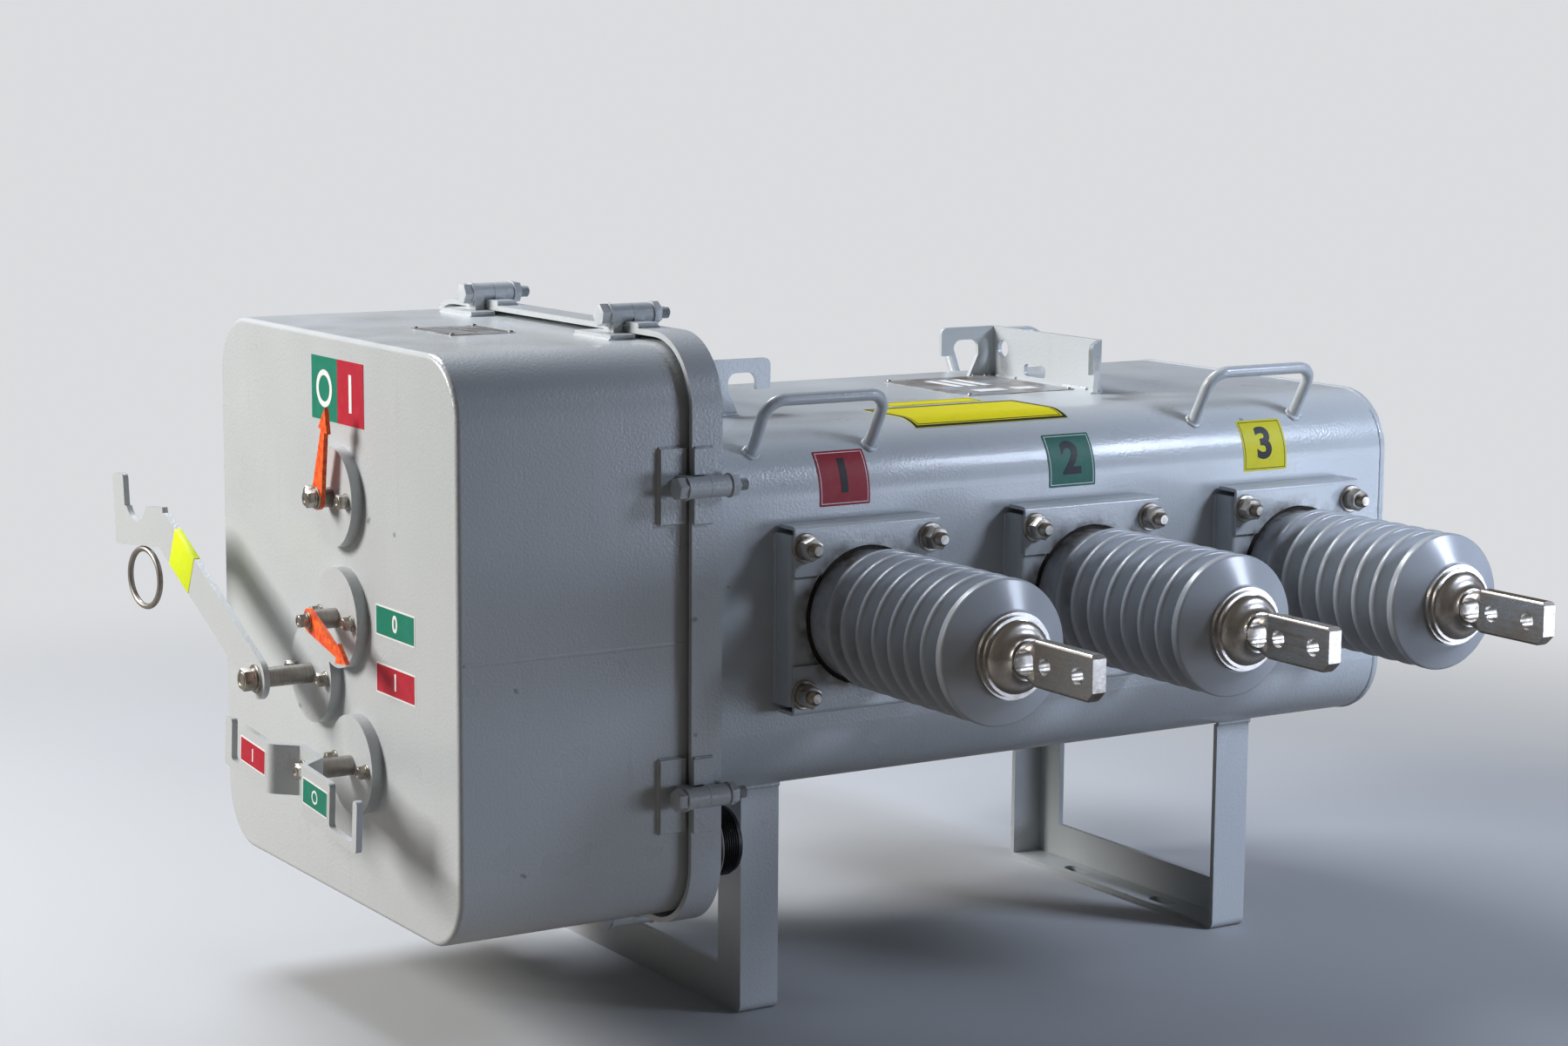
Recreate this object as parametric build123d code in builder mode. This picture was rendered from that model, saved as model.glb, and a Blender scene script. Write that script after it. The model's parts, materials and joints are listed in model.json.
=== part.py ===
from build123d import *
import os
from math import cos, radians, sin, tan

# Gas load break switch: a sealed rounded tank on two angle-iron legs, three bushings on each
# side, a spring mechanism behind a deep cover at one end. Millimetres, +Z up. The origin lies
# on the ground under the middle of the whole. The cover faces -X, the photographed side -Y.

# Tank
tank_length = 714
tank_width = 387
tank_height = 294
tank_corner = 54
tank_wall = 4
tank_underside = 189
tank_overhang = 116

# Legs, each one bent from angle iron
front_leg_inset = 66
leg_span = 309
leg_flange = 36
leg_web = 36
leg_wall = 5
leg_corner = 8
foot_slot_width = 14
foot_slot_length = 32
foot_slot_spacing = 130
foot_slot_inset = 22

# Mechanism cover and the flange that it is clamped to
cover_depth = 218
cover_width = 451
cover_height = 453
cover_underside = 106
cover_corner = 50
cover_wall = 3
cover_edge_round = 4
flange_plate = 4
flange_reach = 8.5
flange_band = 4.5
flange_depth = 27

# Barrel clamps around the flange
clamp_offset = 121
clamp_leaf_length = 58
clamp_leaf_wall = 4
clamp_barrel_diameter = 17
clamp_bore = 10.5
clamp_axis_height = 17.5
cover_leaf_width = 22
cover_leaf_lead = 14
cover_barrel_length = 18.5
flange_leaf_width = 18
flange_barrel_length = 18.5
clamp_split_lead = 8
clamp_split = 0.3

# Bushings
bushing_spacing = 223.5
bushing_offset = 11
bushing_bore = 96
base_width = 142
base_height = 152
base_depth = 23
base_wall = 4
base_bend = 5
base_hole = 113
strip_wall = 3
strip_height = 40
strip_lip = 20
strip_relief = 114
strip_inset = 2
strip_room = 4
strip_bend = 4
ring_inner_diameter = 106.6
ring_outer_diameter = 112
ring_depth = 5
insulator_flange_diameter = 124
insulator_core = 88
insulator_spigot_diameter = 92
insulator_spigot = 30
insulator_collar = 106
insulator_reach = 211
shed_diameter = 114
shed_count = 8
shed_spacing = 22
shed_rim = 6
shed_root = 13
end_shed_rim = 8
end_dome = 12
end_dome_seat = 70
shed_edge_round = 3
shed_root_round = 4

# Terminals
cap_diameter = 67
cap_lip = 4
cap_step_diameter = 62
cap_step = 3.5
cap_shoulder = 57
cap_height = 20.5
cap_neck = 32
cap_bulge_height = 14
cap_bulge_round = 9
cap_bulge_diameter = 44
cap_bore_gap = 0.2
stud_diameter = 28
stud_slot_width = 14
stud_slot_height = 20
stud_slot_reach = 28
blade_start = 23
blade_flare = 13
blade_reach = 107
blade_height = 36
blade_wall = 12
blade_edge_round = 2.5
blade_top_chamfer = 3
blade_bottom_chamfer = 8
terminal_hole = 14
terminal_hole_spacing = 40
terminal_hole_inset = 18.5

# Spindles on the front of the cover: place across and height above the cover's centre
pointer_spindle_y = -21
pointer_spindle_rise = 100.5
charge_spindle_y = -28
charge_spindle_rise = 5
handle_spindle_y = 23
handle_spindle_rise = -48
lever_spindle_y = -53
lever_spindle_rise = -109
boss_diameter = 80
boss_wall = 10
spindle_diameter = 16
spindle_fit = 0.05
spindle_tail = 28
spindle_nose = 10
cover_spindle_hole = 20
pointer_stand = 18.5
charge_stand = 30
handle_stand = 52
lever_stand = 45

# Arrow pointers
pointer_wall = 3.5
pointer_reach = 75
pointer_hub = 19
pointer_neck = 7
pointer_head = 17
pointer_head_length = 19
pointer_lean_angle = 14
charge_lean_angle = 108.5

# Charging handle
handle_wall = 5
handle_arm = 34
handle_arm_reach = 216
handle_angle = 25
handle_head_angle = 31
handle_head_length = 116
handle_head_low = 12.5
handle_finger_width = 26
handle_finger_top = 49.5
handle_notch = 54
handle_notch_along = 62
handle_notch_up = 35
handle_corner = 5
handle_ring_diameter = 50
handle_ring_rod = 5
handle_ring_along = 56.6
handle_ring_angle = 9

# Hand lever with a hook at each end
lever_wall = 5
lever_angle = 4.5
lever_hub_close = 11
lever_hub_open = 27
lever_joggle_run = 13.5
lever_joggle_depth = 20
lever_arm_top = 18
lever_arm_bottom = 22.5
lever_bar = 7
lever_open_arm = 94
lever_open_gap = 41.5
lever_open_finger = 7.5
lever_close_arm = 80
lever_close_gap = 17.5
lever_close_finger = 13.5
lever_fold = 4
lever_corner = 3.5

# Suspension brackets on the tank roof
bracket_front_inset = 91
bracket_rear_inset = 224
bracket_offset = 20
bracket_length = 163
bracket_wall = 4
bracket_height = 46
bracket_ear = 58
bracket_ear_angle = 45
bracket_bend = 6
bracket_bend_inside = 2
bracket_lip = 13.6
bracket_lip_drop = 26
bracket_lip_round = 6
bracket_arch = 27.6
bracket_arch_top = 11.6
bracket_arch_round = 8
bracket_neck_flare = 10
bracket_hole = 16
bracket_hole_along = 20
bracket_hole_drop = 20
bracket_drain_length = 33
bracket_drain_height = 11
bracket_drain_round = 4
bracket_drain_rise = 9.5
bracket_drain_along = 70

# Carrying handles, one rod each
grip_rod = 10
grip_span = 112
grip_rise = 44
grip_out = 24
grip_bend = 16
grip_front_lead = 116
grip_rear_lead = 563
grip_seat_angle = 45

# Control cable socket behind the flange
socket_y = -194
socket_rise = -171
socket_plate_diameter = 66
socket_plate = 6
socket_diameter = 53
socket_depth = 22
socket_bore = 44
socket_bore_depth = 16

# Room left at a welded seat
weld_gap = 0.2

# Places worked out from the sizes above
overall_length = (
    tank_length + flange_plate + cover_depth + lever_stand + lever_joggle_depth + lever_wall
)
tank_rear = overall_length / 2
tank_front = tank_rear - tank_length
flange_front = tank_front - flange_plate
cover_front = flange_front - cover_depth
tank_middle = tank_underside + tank_height / 2
tank_roof = tank_underside + tank_height
cover_middle = cover_underside + cover_height / 2
tank_side = tank_width / 2
flange_width = cover_width + 2 * flange_reach
flange_height = cover_height + 2 * flange_reach
flange_corner = cover_corner + flange_reach
bushing_middle = (tank_front + tank_rear) / 2 + bushing_offset
bushing_places = [bushing_middle + k * bushing_spacing for k in (-1, 0, 1)]

os.makedirs("parts", exist_ok=True)


def save(builder, name):
    """Label a finished piece and write it."""
    builder.part.label = name
    export_step(builder.part, f"parts/{name}.step")


# Tank shell: a rounded tube with a round port for each bushing
with BuildPart() as tank_shell:
    with BuildSketch(Plane.YZ.offset(tank_front)):
        with Locations((0, tank_middle)):
            RectangleRounded(tank_width, tank_height, tank_corner)
            RectangleRounded(
                tank_width - 2 * tank_wall,
                tank_height - 2 * tank_wall,
                tank_corner - tank_wall,
                mode=Mode.SUBTRACT,
            )
    extrude(amount=tank_length - tank_wall)
    with BuildSketch(Plane.XZ.offset(-tank_width)):
        with Locations(*[(x, tank_middle) for x in bushing_places]):
            Circle(bushing_bore / 2)
    extrude(amount=2 * tank_width, mode=Mode.SUBTRACT)
save(tank_shell, "tank_shell")

# Flat plate welded over the far end of the tank
with BuildPart() as tank_end_plate:
    with BuildSketch(Plane.YZ.offset(tank_rear - tank_wall)):
        with Locations((0, tank_middle)):
            RectangleRounded(tank_width, tank_height, tank_corner)
    extrude(amount=tank_wall)
save(tank_end_plate, "tank_end_plate")


def leg(name, web_face, inward):
    """A U of angle iron: the web stands across the tank, the flange runs inward along X."""
    with BuildPart() as frame:
        with BuildSketch(Plane.YZ.offset(web_face)):
            with Locations((0, tank_underside / 2)):
                outer = Rectangle(leg_span, tank_underside)
            fillet(outer.vertices().group_by(Axis.Y)[0], leg_corner)
            with Locations((0, leg_web)):
                Rectangle(
                    leg_span - 2 * leg_web,
                    tank_underside,
                    align=(Align.CENTER, Align.MIN),
                    mode=Mode.SUBTRACT,
                )
        extrude(amount=inward * leg_wall)
        with BuildSketch(Plane.YZ.offset(web_face)):
            with Locations((0, tank_underside / 2)):
                rim = Rectangle(leg_span, tank_underside)
            fillet(rim.vertices().group_by(Axis.Y)[0], leg_corner)
            with Locations((0, leg_wall)):
                Rectangle(
                    leg_span - 2 * leg_wall,
                    tank_underside,
                    align=(Align.CENTER, Align.MIN),
                    mode=Mode.SUBTRACT,
                )
        extrude(amount=inward * leg_flange)
        with BuildSketch(Plane.XY):
            with Locations((web_face + inward * foot_slot_inset, 0)):
                with GridLocations(0, foot_slot_spacing, 1, 2):
                    SlotOverall(foot_slot_length, foot_slot_width, rotation=90)
        extrude(amount=2 * leg_wall, mode=Mode.SUBTRACT)
    save(frame, name)


leg("front_leg", tank_front + front_leg_inset, 1)
leg("rear_leg", tank_rear - tank_overhang, -1)

# Flange: the plate that closes the tank's front end, with a rim band around the cover
with BuildPart() as cover_flange:
    with BuildSketch(Plane.YZ.offset(flange_front)):
        with Locations((0, cover_middle)):
            RectangleRounded(flange_width, flange_height, flange_corner)
    extrude(amount=flange_plate)
    with BuildSketch(Plane.YZ.offset(flange_front)):
        with Locations((0, cover_middle)):
            RectangleRounded(flange_width, flange_height, flange_corner)
            RectangleRounded(
                flange_width - 2 * flange_band,
                flange_height - 2 * flange_band,
                flange_corner - flange_band,
                mode=Mode.SUBTRACT,
            )
    extrude(amount=flange_plate - flange_depth)
save(cover_flange, "cover_flange")

spindle_places = [
    (pointer_spindle_y, cover_middle + pointer_spindle_rise),
    (charge_spindle_y, cover_middle + charge_spindle_rise),
    (handle_spindle_y, cover_middle + handle_spindle_rise),
    (lever_spindle_y, cover_middle + lever_spindle_rise),
]

# Cover: a deep pressed box, open at the back
with BuildPart() as mechanism_cover:
    with BuildSketch(Plane.YZ.offset(cover_front)):
        with Locations((0, cover_middle)):
            RectangleRounded(cover_width, cover_height, cover_corner)
    extrude(amount=cover_depth)
    fillet(mechanism_cover.faces().sort_by(Axis.X)[0].edges(), cover_edge_round)
    offset(
        amount=-cover_wall,
        openings=mechanism_cover.faces().sort_by(Axis.X)[-1],
        kind=Kind.INTERSECTION,
    )
    with BuildSketch(Plane.YZ.offset(cover_front)):
        with Locations(*spindle_places):
            Circle(cover_spindle_hole / 2)
    extrude(amount=cover_wall, mode=Mode.SUBTRACT)
save(mechanism_cover, "mechanism_cover")

# Round bearing bosses on the cover, one for each spindle
with BuildPart() as spindle_bosses:
    with BuildSketch(Plane.YZ.offset(cover_front)):
        with Locations(*spindle_places):
            Circle(boss_diameter / 2)
            Circle(spindle_diameter / 2 + spindle_fit, mode=Mode.SUBTRACT)
    extrude(amount=-boss_wall)
save(spindle_bosses, "spindle_bosses")


def spindle(name, place, stand, plate):
    """A turned shaft through its boss, with a thinner nose for the plate it turns."""
    tail_face = cover_front + spindle_tail
    with BuildPart() as shaft:
        with BuildSketch(Plane.YZ.offset(tail_face)):
            with Locations(place):
                Circle(spindle_diameter / 2)
        extrude(amount=-(spindle_tail + stand))
        with BuildSketch(Plane.YZ.offset(cover_front - stand)):
            with Locations(place):
                Circle(spindle_nose / 2)
        extrude(amount=-plate)
    save(shaft, name)


spindle("position_spindle", spindle_places[0], pointer_stand, pointer_wall)
spindle("charge_spindle", spindle_places[1], charge_stand, pointer_wall)
spindle("handle_spindle", spindle_places[2], handle_stand, handle_wall)
spindle("lever_spindle", spindle_places[3], lever_stand, lever_wall)


def front_plane(place, stand, turn):
    """Plane across a spindle's shoulder, seen from the front: x to the left, y up, then turned."""
    angle = radians(turn)
    return Plane(
        origin=(cover_front - stand, *place), x_dir=(0, cos(angle), sin(angle)), z_dir=(1, 0, 0)
    )


def arrow_pointer(name, place, stand, lean):
    """A flat arrow: round hub, tapered stem and barbed head. Lean is from upright, to the right."""
    neck_up = pointer_reach - pointer_head_length
    with BuildPart() as arrow:
        with BuildSketch(front_plane(place, stand, lean)):
            with BuildLine():
                Polyline(
                    (-pointer_hub / 2, 0),
                    (-pointer_neck / 2, neck_up),
                    (-pointer_head / 2, neck_up),
                    (0, pointer_reach),
                    (pointer_head / 2, neck_up),
                    (pointer_neck / 2, neck_up),
                    (pointer_hub / 2, 0),
                    close=True,
                )
            make_face()
            Circle(pointer_hub / 2)
            Circle(spindle_nose / 2 + spindle_fit, mode=Mode.SUBTRACT)
        extrude(amount=-pointer_wall)
    save(arrow, name)


arrow_pointer("position_pointer", spindle_places[0], pointer_stand, pointer_lean_angle)
arrow_pointer("charge_pointer", spindle_places[1], charge_stand, charge_lean_angle)

# Charging handle: a flat bar whose far end turns level and forms a hook
handle_plane = front_plane(spindle_places[2], handle_stand, handle_angle)
elbow = handle_plane.from_local_coords((handle_arm_reach, 0, 0))
head_plane = front_plane((elbow.Y, elbow.Z), handle_stand, handle_angle - handle_head_angle)
with BuildPart() as charging_handle:
    with BuildSketch(handle_plane):
        with Locations((handle_arm_reach / 2, 0)):
            Rectangle(handle_arm_reach, handle_arm)
        with Locations((0, 0), (handle_arm_reach, 0)):
            Circle(handle_arm / 2)
        Circle(spindle_nose / 2 + spindle_fit, mode=Mode.SUBTRACT)
    extrude(amount=-handle_wall)
    with BuildSketch(head_plane):
        with Locations((0, -handle_head_low)):
            Rectangle(handle_head_length, handle_arm, align=(Align.MIN, Align.MIN))
        with Locations((handle_head_length, -handle_head_low)):
            Rectangle(
                handle_finger_width,
                handle_finger_top + handle_head_low,
                align=(Align.MAX, Align.MIN),
            )
        with Locations((handle_notch_along, handle_notch_up)):
            Circle(handle_notch / 2, mode=Mode.SUBTRACT)
    extrude(amount=-handle_wall)
    finger_edges = charging_handle.edges().filter_by(Axis.X).sort_by(Axis.Y)[-3:]
    fillet(finger_edges, handle_corner)
save(charging_handle, "charging_handle")

# Pull ring welded under the hook
ring_drop = handle_head_low + handle_ring_diameter / 2 + handle_ring_rod / 2 + weld_gap
ring_centre = head_plane.from_local_coords((handle_ring_along, -ring_drop, -handle_wall / 2))
ring_turn = radians(handle_ring_angle)
ring_plane = Plane(origin=ring_centre, z_dir=(cos(ring_turn), sin(ring_turn), 0))
with BuildPart(ring_plane) as handle_ring:
    Torus(handle_ring_diameter / 2, handle_ring_rod / 2)
save(handle_ring, "handle_ring")

# Hand lever: a strip joggled forward on both sides of its hub, with a hook cut at each end
lever_plane = front_plane(spindle_places[3], lever_stand, lever_angle)
strip_plane = Plane(
    origin=lever_plane.from_local_coords((0, -lever_arm_bottom, 0)),
    x_dir=lever_plane.x_dir,
    z_dir=lever_plane.y_dir,
)
close_end = lever_close_arm + lever_close_gap + lever_close_finger
open_end = lever_open_arm + lever_open_gap + lever_open_finger
with BuildPart() as hand_lever:
    with BuildSketch(strip_plane):
        with BuildLine():
            FilletPolyline(
                (-open_end, lever_joggle_depth),
                (-lever_hub_open - lever_joggle_run, lever_joggle_depth),
                (-lever_hub_open, 0),
                (lever_hub_close, 0),
                (lever_hub_close + lever_joggle_run, lever_joggle_depth),
                (close_end, lever_joggle_depth),
                radius=lever_fold,
            )
            offset(amount=lever_wall, side=Side.LEFT)
        make_face()
    extrude(amount=lever_arm_bottom + lever_arm_top)
    with BuildSketch(lever_plane) as outline:
        for end, gap, finger, way in (
            (lever_close_arm, lever_close_gap, lever_close_finger, 1),
            (lever_open_arm, lever_open_gap, lever_open_finger, -1),
        ):
            outer = (Align.MIN if way > 0 else Align.MAX, Align.MIN)
            with Locations((0, -lever_arm_bottom)):
                Rectangle(end, lever_arm_bottom + lever_arm_top, align=outer)
                Rectangle(end + gap + finger, lever_bar, align=outer)
            with Locations((way * (end + gap), -lever_arm_bottom)):
                Rectangle(finger, lever_arm_bottom + lever_arm_top, align=outer)
        fillet(outline.vertices(), lever_corner)
        Circle(spindle_nose / 2 + spindle_fit, mode=Mode.SUBTRACT)
    extrude(amount=-(lever_joggle_depth + 2 * lever_wall), mode=Mode.INTERSECT)
save(hand_lever, "hand_lever")


def hook_ear(plane):
    """Outline of a hook-shaped ear: x runs out from the web, y up from the roof."""
    inner = bracket_ear - bracket_lip
    neck = inner - bracket_arch
    lip_foot = bracket_height - bracket_lip_drop
    arch_top = bracket_height - bracket_arch_top
    with BuildSketch(plane) as ear:
        with BuildLine():
            Polyline(
                (0, 0),
                (neck + bracket_neck_flare, 0),
                (neck, lip_foot),
                (neck, arch_top),
                (inner, arch_top),
                (inner, lip_foot),
                (bracket_ear, lip_foot),
                (bracket_ear, bracket_height),
                (0, bracket_height),
                close=True,
            )
        make_face()
        fillet([v for v in ear.vertices() if abs(v.Y - arch_top) < weld_gap], bracket_arch_round)
        fillet(ear.vertices().sort_by_distance((bracket_ear, bracket_height))[0], bracket_lip_round)
    return ear.sketch


def suspension_bracket(name, place, facing):
    """A web across the roof with a square hook ear at one end and a slanting one at the other."""
    half = bracket_length / 2
    base = Plane(
        origin=(place, bracket_offset, tank_roof), x_dir=(0, facing, 0), z_dir=(0, 0, 1)
    )
    web = Plane(origin=base.origin, x_dir=base.x_dir, z_dir=-base.y_dir)
    turn = radians(bracket_ear_angle)
    turned = base.y_dir * cos(turn) - base.x_dir * sin(turn)
    mitre = bracket_wall * tan(turn / 2)
    with BuildPart() as bracket:
        with BuildSketch(web):
            with Locations((-half - mitre, 0)):
                Rectangle(bracket_length + mitre, bracket_height, align=(Align.MIN, Align.MIN))
            with Locations((half - bracket_hole_along, bracket_height - bracket_hole_drop)):
                Circle(bracket_hole / 2, mode=Mode.SUBTRACT)
            with Locations((half - bracket_drain_along, bracket_drain_rise)):
                RectangleRounded(
                    bracket_drain_length,
                    bracket_drain_height,
                    bracket_drain_round,
                    mode=Mode.SUBTRACT,
                )
        extrude(amount=bracket_wall)
        square_ear = Plane(
            origin=base.from_local_coords((half, 0, 0)), x_dir=base.y_dir, z_dir=base.x_dir
        )
        extrude(hook_ear(square_ear), amount=-bracket_wall)
        slanting_ear = Plane(
            origin=base.from_local_coords((-half, 0, 0)) - turned * mitre,
            x_dir=turned,
            z_dir=turned.cross(Vector(0, 0, 1)),
        )
        extrude(hook_ear(slanting_ear), amount=-bracket_wall)
        corners = [e for e in bracket.edges().filter_by(Axis.Z) if e.length > bracket_height - weld_gap]
        corners.sort(key=lambda e: (e.center() - base.origin).dot(base.y_dir))
        fillet(corners[:2], bracket_bend)
        fillet(corners[2:], bracket_bend_inside)
    save(bracket, name)


suspension_bracket("front_bracket", tank_front + bracket_front_inset, -1)
suspension_bracket("rear_bracket", tank_rear - bracket_rear_inset, 1)


def carrying_grips(name, side):
    """Two bent rods welded to the tank's upper corner on one side."""
    seat = radians(grip_seat_angle)
    seat_y = side * (tank_side - tank_corner + tank_corner * cos(seat))
    seat_z = tank_roof - tank_corner + tank_corner * sin(seat)
    lean = Vector(0, side * grip_out, grip_rise)
    with BuildPart() as grips:
        for lead in (grip_front_lead, grip_rear_lead):
            plane = Plane(
                origin=(tank_front + lead, seat_y, seat_z),
                x_dir=(1, 0, 0),
                z_dir=Vector(1, 0, 0).cross(lean),
            )
            with BuildLine(plane) as path:
                FilletPolyline(
                    (-grip_span / 2, -grip_rod),
                    (-grip_span / 2, lean.length),
                    (grip_span / 2, lean.length),
                    (grip_span / 2, -grip_rod),
                    radius=grip_bend,
                )
            with BuildSketch(Plane(origin=path.line @ 0, z_dir=path.line % 0)):
                Circle(grip_rod / 2)
            sweep(path=path.line)
        with BuildSketch(Plane.YZ.offset(tank_front)):
            with Locations((0, tank_middle)):
                RectangleRounded(
                    tank_width + 2 * weld_gap,
                    tank_height + 2 * weld_gap,
                    tank_corner + weld_gap,
                )
        extrude(amount=tank_length, mode=Mode.SUBTRACT)
    save(grips, name)


carrying_grips("near_grips", -1)
carrying_grips("far_grips", 1)

# Barrel clamps: two on each of the cover's four sides, bolted together along X
clamp_split_face = tank_front - flange_depth + clamp_split_lead
clamp_seats = []
for way in (-1, 1):
    for place in (-clamp_offset, clamp_offset):
        clamp_seats.append(((way * cover_width / 2, cover_middle + place), (way, 0)))
        clamp_seats.append(((place, cover_middle + way * cover_height / 2), (0, way)))


def clamp_plane(face, seat, normal):
    """Plane across X on the cover's surface: x along the edge, y outwards."""
    outward = Vector(0, *normal)
    return Plane(
        origin=(face, *seat), x_dir=outward.cross(Vector(1, 0, 0)), z_dir=(1, 0, 0)
    )


def clamp_block(foot, height):
    """Upright block of the barrel's width from its foot to the barrel's axis, in the open sketch."""
    with Locations((0, foot)):
        Rectangle(clamp_barrel_diameter, height - foot, align=(Align.CENTER, Align.MIN))


with BuildPart() as cover_clamps:
    leaf_front = clamp_split_face - clamp_split / 2 - cover_barrel_length - cover_leaf_lead
    barrel_front = clamp_split_face - clamp_split / 2 - cover_barrel_length
    for seat, normal in clamp_seats:
        with BuildSketch(clamp_plane(leaf_front, seat, normal)):
            Rectangle(clamp_leaf_length, clamp_leaf_wall, align=(Align.CENTER, Align.MIN))
        extrude(amount=cover_leaf_width)
        with BuildSketch(clamp_plane(barrel_front, seat, normal)):
            clamp_block(0, clamp_axis_height)
        extrude(amount=leaf_front + cover_leaf_width - barrel_front)
        with BuildSketch(clamp_plane(barrel_front, seat, normal)):
            with Locations((0, clamp_axis_height)):
                Circle(clamp_barrel_diameter / 2)
        extrude(amount=cover_barrel_length)
        with BuildSketch(clamp_plane(leaf_front, seat, normal)):
            with Locations((0, clamp_axis_height)):
                Circle(clamp_bore / 2)
        extrude(amount=cover_barrel_length + 2 * cover_leaf_width, mode=Mode.SUBTRACT)
save(cover_clamps, "cover_clamps")

with BuildPart() as flange_clamps:
    leaf_front = tank_front - flange_depth
    barrel_front = clamp_split_face + clamp_split / 2
    for seat, normal in clamp_seats:
        with BuildSketch(clamp_plane(leaf_front, seat, normal)):
            with Locations((0, flange_reach)):
                Rectangle(clamp_leaf_length, clamp_leaf_wall, align=(Align.CENTER, Align.MIN))
        extrude(amount=flange_leaf_width)
        with BuildSketch(clamp_plane(leaf_front, seat, normal)):
            with Locations((0, flange_reach)):
                Rectangle(
                    clamp_barrel_diameter + 2 * clamp_split,
                    clamp_barrel_diameter,
                    align=(Align.CENTER, Align.MIN),
                )
        extrude(amount=barrel_front - leaf_front, mode=Mode.SUBTRACT)
        with BuildSketch(clamp_plane(barrel_front, seat, normal)):
            clamp_block(flange_reach, clamp_axis_height)
        extrude(amount=flange_leaf_width - (barrel_front - leaf_front))
        with BuildSketch(clamp_plane(barrel_front, seat, normal)):
            with Locations((0, clamp_axis_height)):
                Circle(clamp_barrel_diameter / 2)
        extrude(amount=flange_barrel_length)
        with BuildSketch(clamp_plane(leaf_front, seat, normal)):
            with Locations((0, clamp_axis_height)):
                Circle(clamp_bore / 2)
        extrude(amount=flange_barrel_length + flange_leaf_width, mode=Mode.SUBTRACT)
save(flange_clamps, "flange_clamps")


def bushing_plane(place, side):
    """Plane on the tank's flat side at a bushing: z points outwards along the bushing."""
    return Plane(
        origin=(place, side * tank_side, tank_middle), x_dir=(-side, 0, 0), z_dir=(0, side, 0)
    )


def axis_plane(seat):
    """Plane through a bushing's axis: x is the radius, y runs outwards."""
    return Plane(origin=seat.origin, x_dir=seat.x_dir, z_dir=seat.x_dir.cross(seat.z_dir))


def bushing_base(name, seat):
    """A channel whose flanges stand on the tank and whose web has the bushing's hole."""
    height = base_height - 2 * (strip_wall + strip_room)
    top = Plane(
        origin=seat.from_local_coords((0, -height / 2, 0)), x_dir=seat.x_dir, z_dir=seat.y_dir
    )
    with BuildPart() as base:
        with BuildSketch(top) as channel:
            Rectangle(base_width, base_depth, align=(Align.CENTER, Align.MAX))
            Rectangle(
                base_width - 2 * base_wall,
                base_depth - base_wall,
                align=(Align.CENTER, Align.MAX),
                mode=Mode.SUBTRACT,
            )
            outer, inner = channel.vertices().group_by(Axis.Y)[:2]
            fillet(outer, base_bend)
            fillet(inner, base_bend - base_wall)
        extrude(amount=height)
        with BuildSketch(seat):
            Circle(base_hole / 2)
        extrude(amount=base_depth, mode=Mode.SUBTRACT)
    save(base, name)


def insulator(name, seat):
    """A turned insulator: flange under the base, smooth collar, ribbed body, domed end."""
    flange_thickness = base_depth - base_wall
    first_rim = insulator_reach - end_shed_rim / 2 - (shed_count - 1) * shed_spacing
    flank = (shed_root - shed_rim) / (shed_diameter - insulator_core)
    collar_step = (shed_diameter - insulator_collar) / 2
    outline = [
        (0, -insulator_spigot),
        (insulator_spigot_diameter / 2, -insulator_spigot),
        (insulator_spigot_diameter / 2, 0),
        (insulator_flange_diameter / 2, 0),
        (insulator_flange_diameter / 2, flange_thickness),
        (insulator_collar / 2, flange_thickness),
        (insulator_collar / 2, first_rim - shed_rim / 2 - flank * collar_step),
    ]
    for k in range(shed_count - 1):
        rim = first_rim + k * shed_spacing
        if k > 0:
            outline.append((insulator_core / 2, rim - shed_root / 2))
        outline += [
            (shed_diameter / 2, rim - shed_rim / 2),
            (shed_diameter / 2, rim + shed_rim / 2),
            (insulator_core / 2, rim + shed_root / 2),
        ]
    outline += [
        (insulator_core / 2, insulator_reach - end_shed_rim / 2 - shed_root / 2),
        (shed_diameter / 2, insulator_reach - end_shed_rim),
        (shed_diameter / 2, insulator_reach),
        (end_dome_seat / 2, insulator_reach + end_dome),
        (0, insulator_reach + end_dome),
    ]
    with BuildPart() as body:
        with BuildSketch(axis_plane(seat)) as half:
            with BuildLine():
                Polyline(*outline, close=True)
            make_face()
            rims = half.vertices().filter_by(lambda v: abs(v.X - shed_diameter / 2) < weld_gap)
            fillet(rims, shed_edge_round)
            roots = half.vertices().filter_by(lambda v: abs(v.X - insulator_core / 2) < weld_gap)
            fillet(roots, shed_root_round)
        revolve(axis=Axis(seat.origin, seat.z_dir))
    save(body, name)


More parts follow.
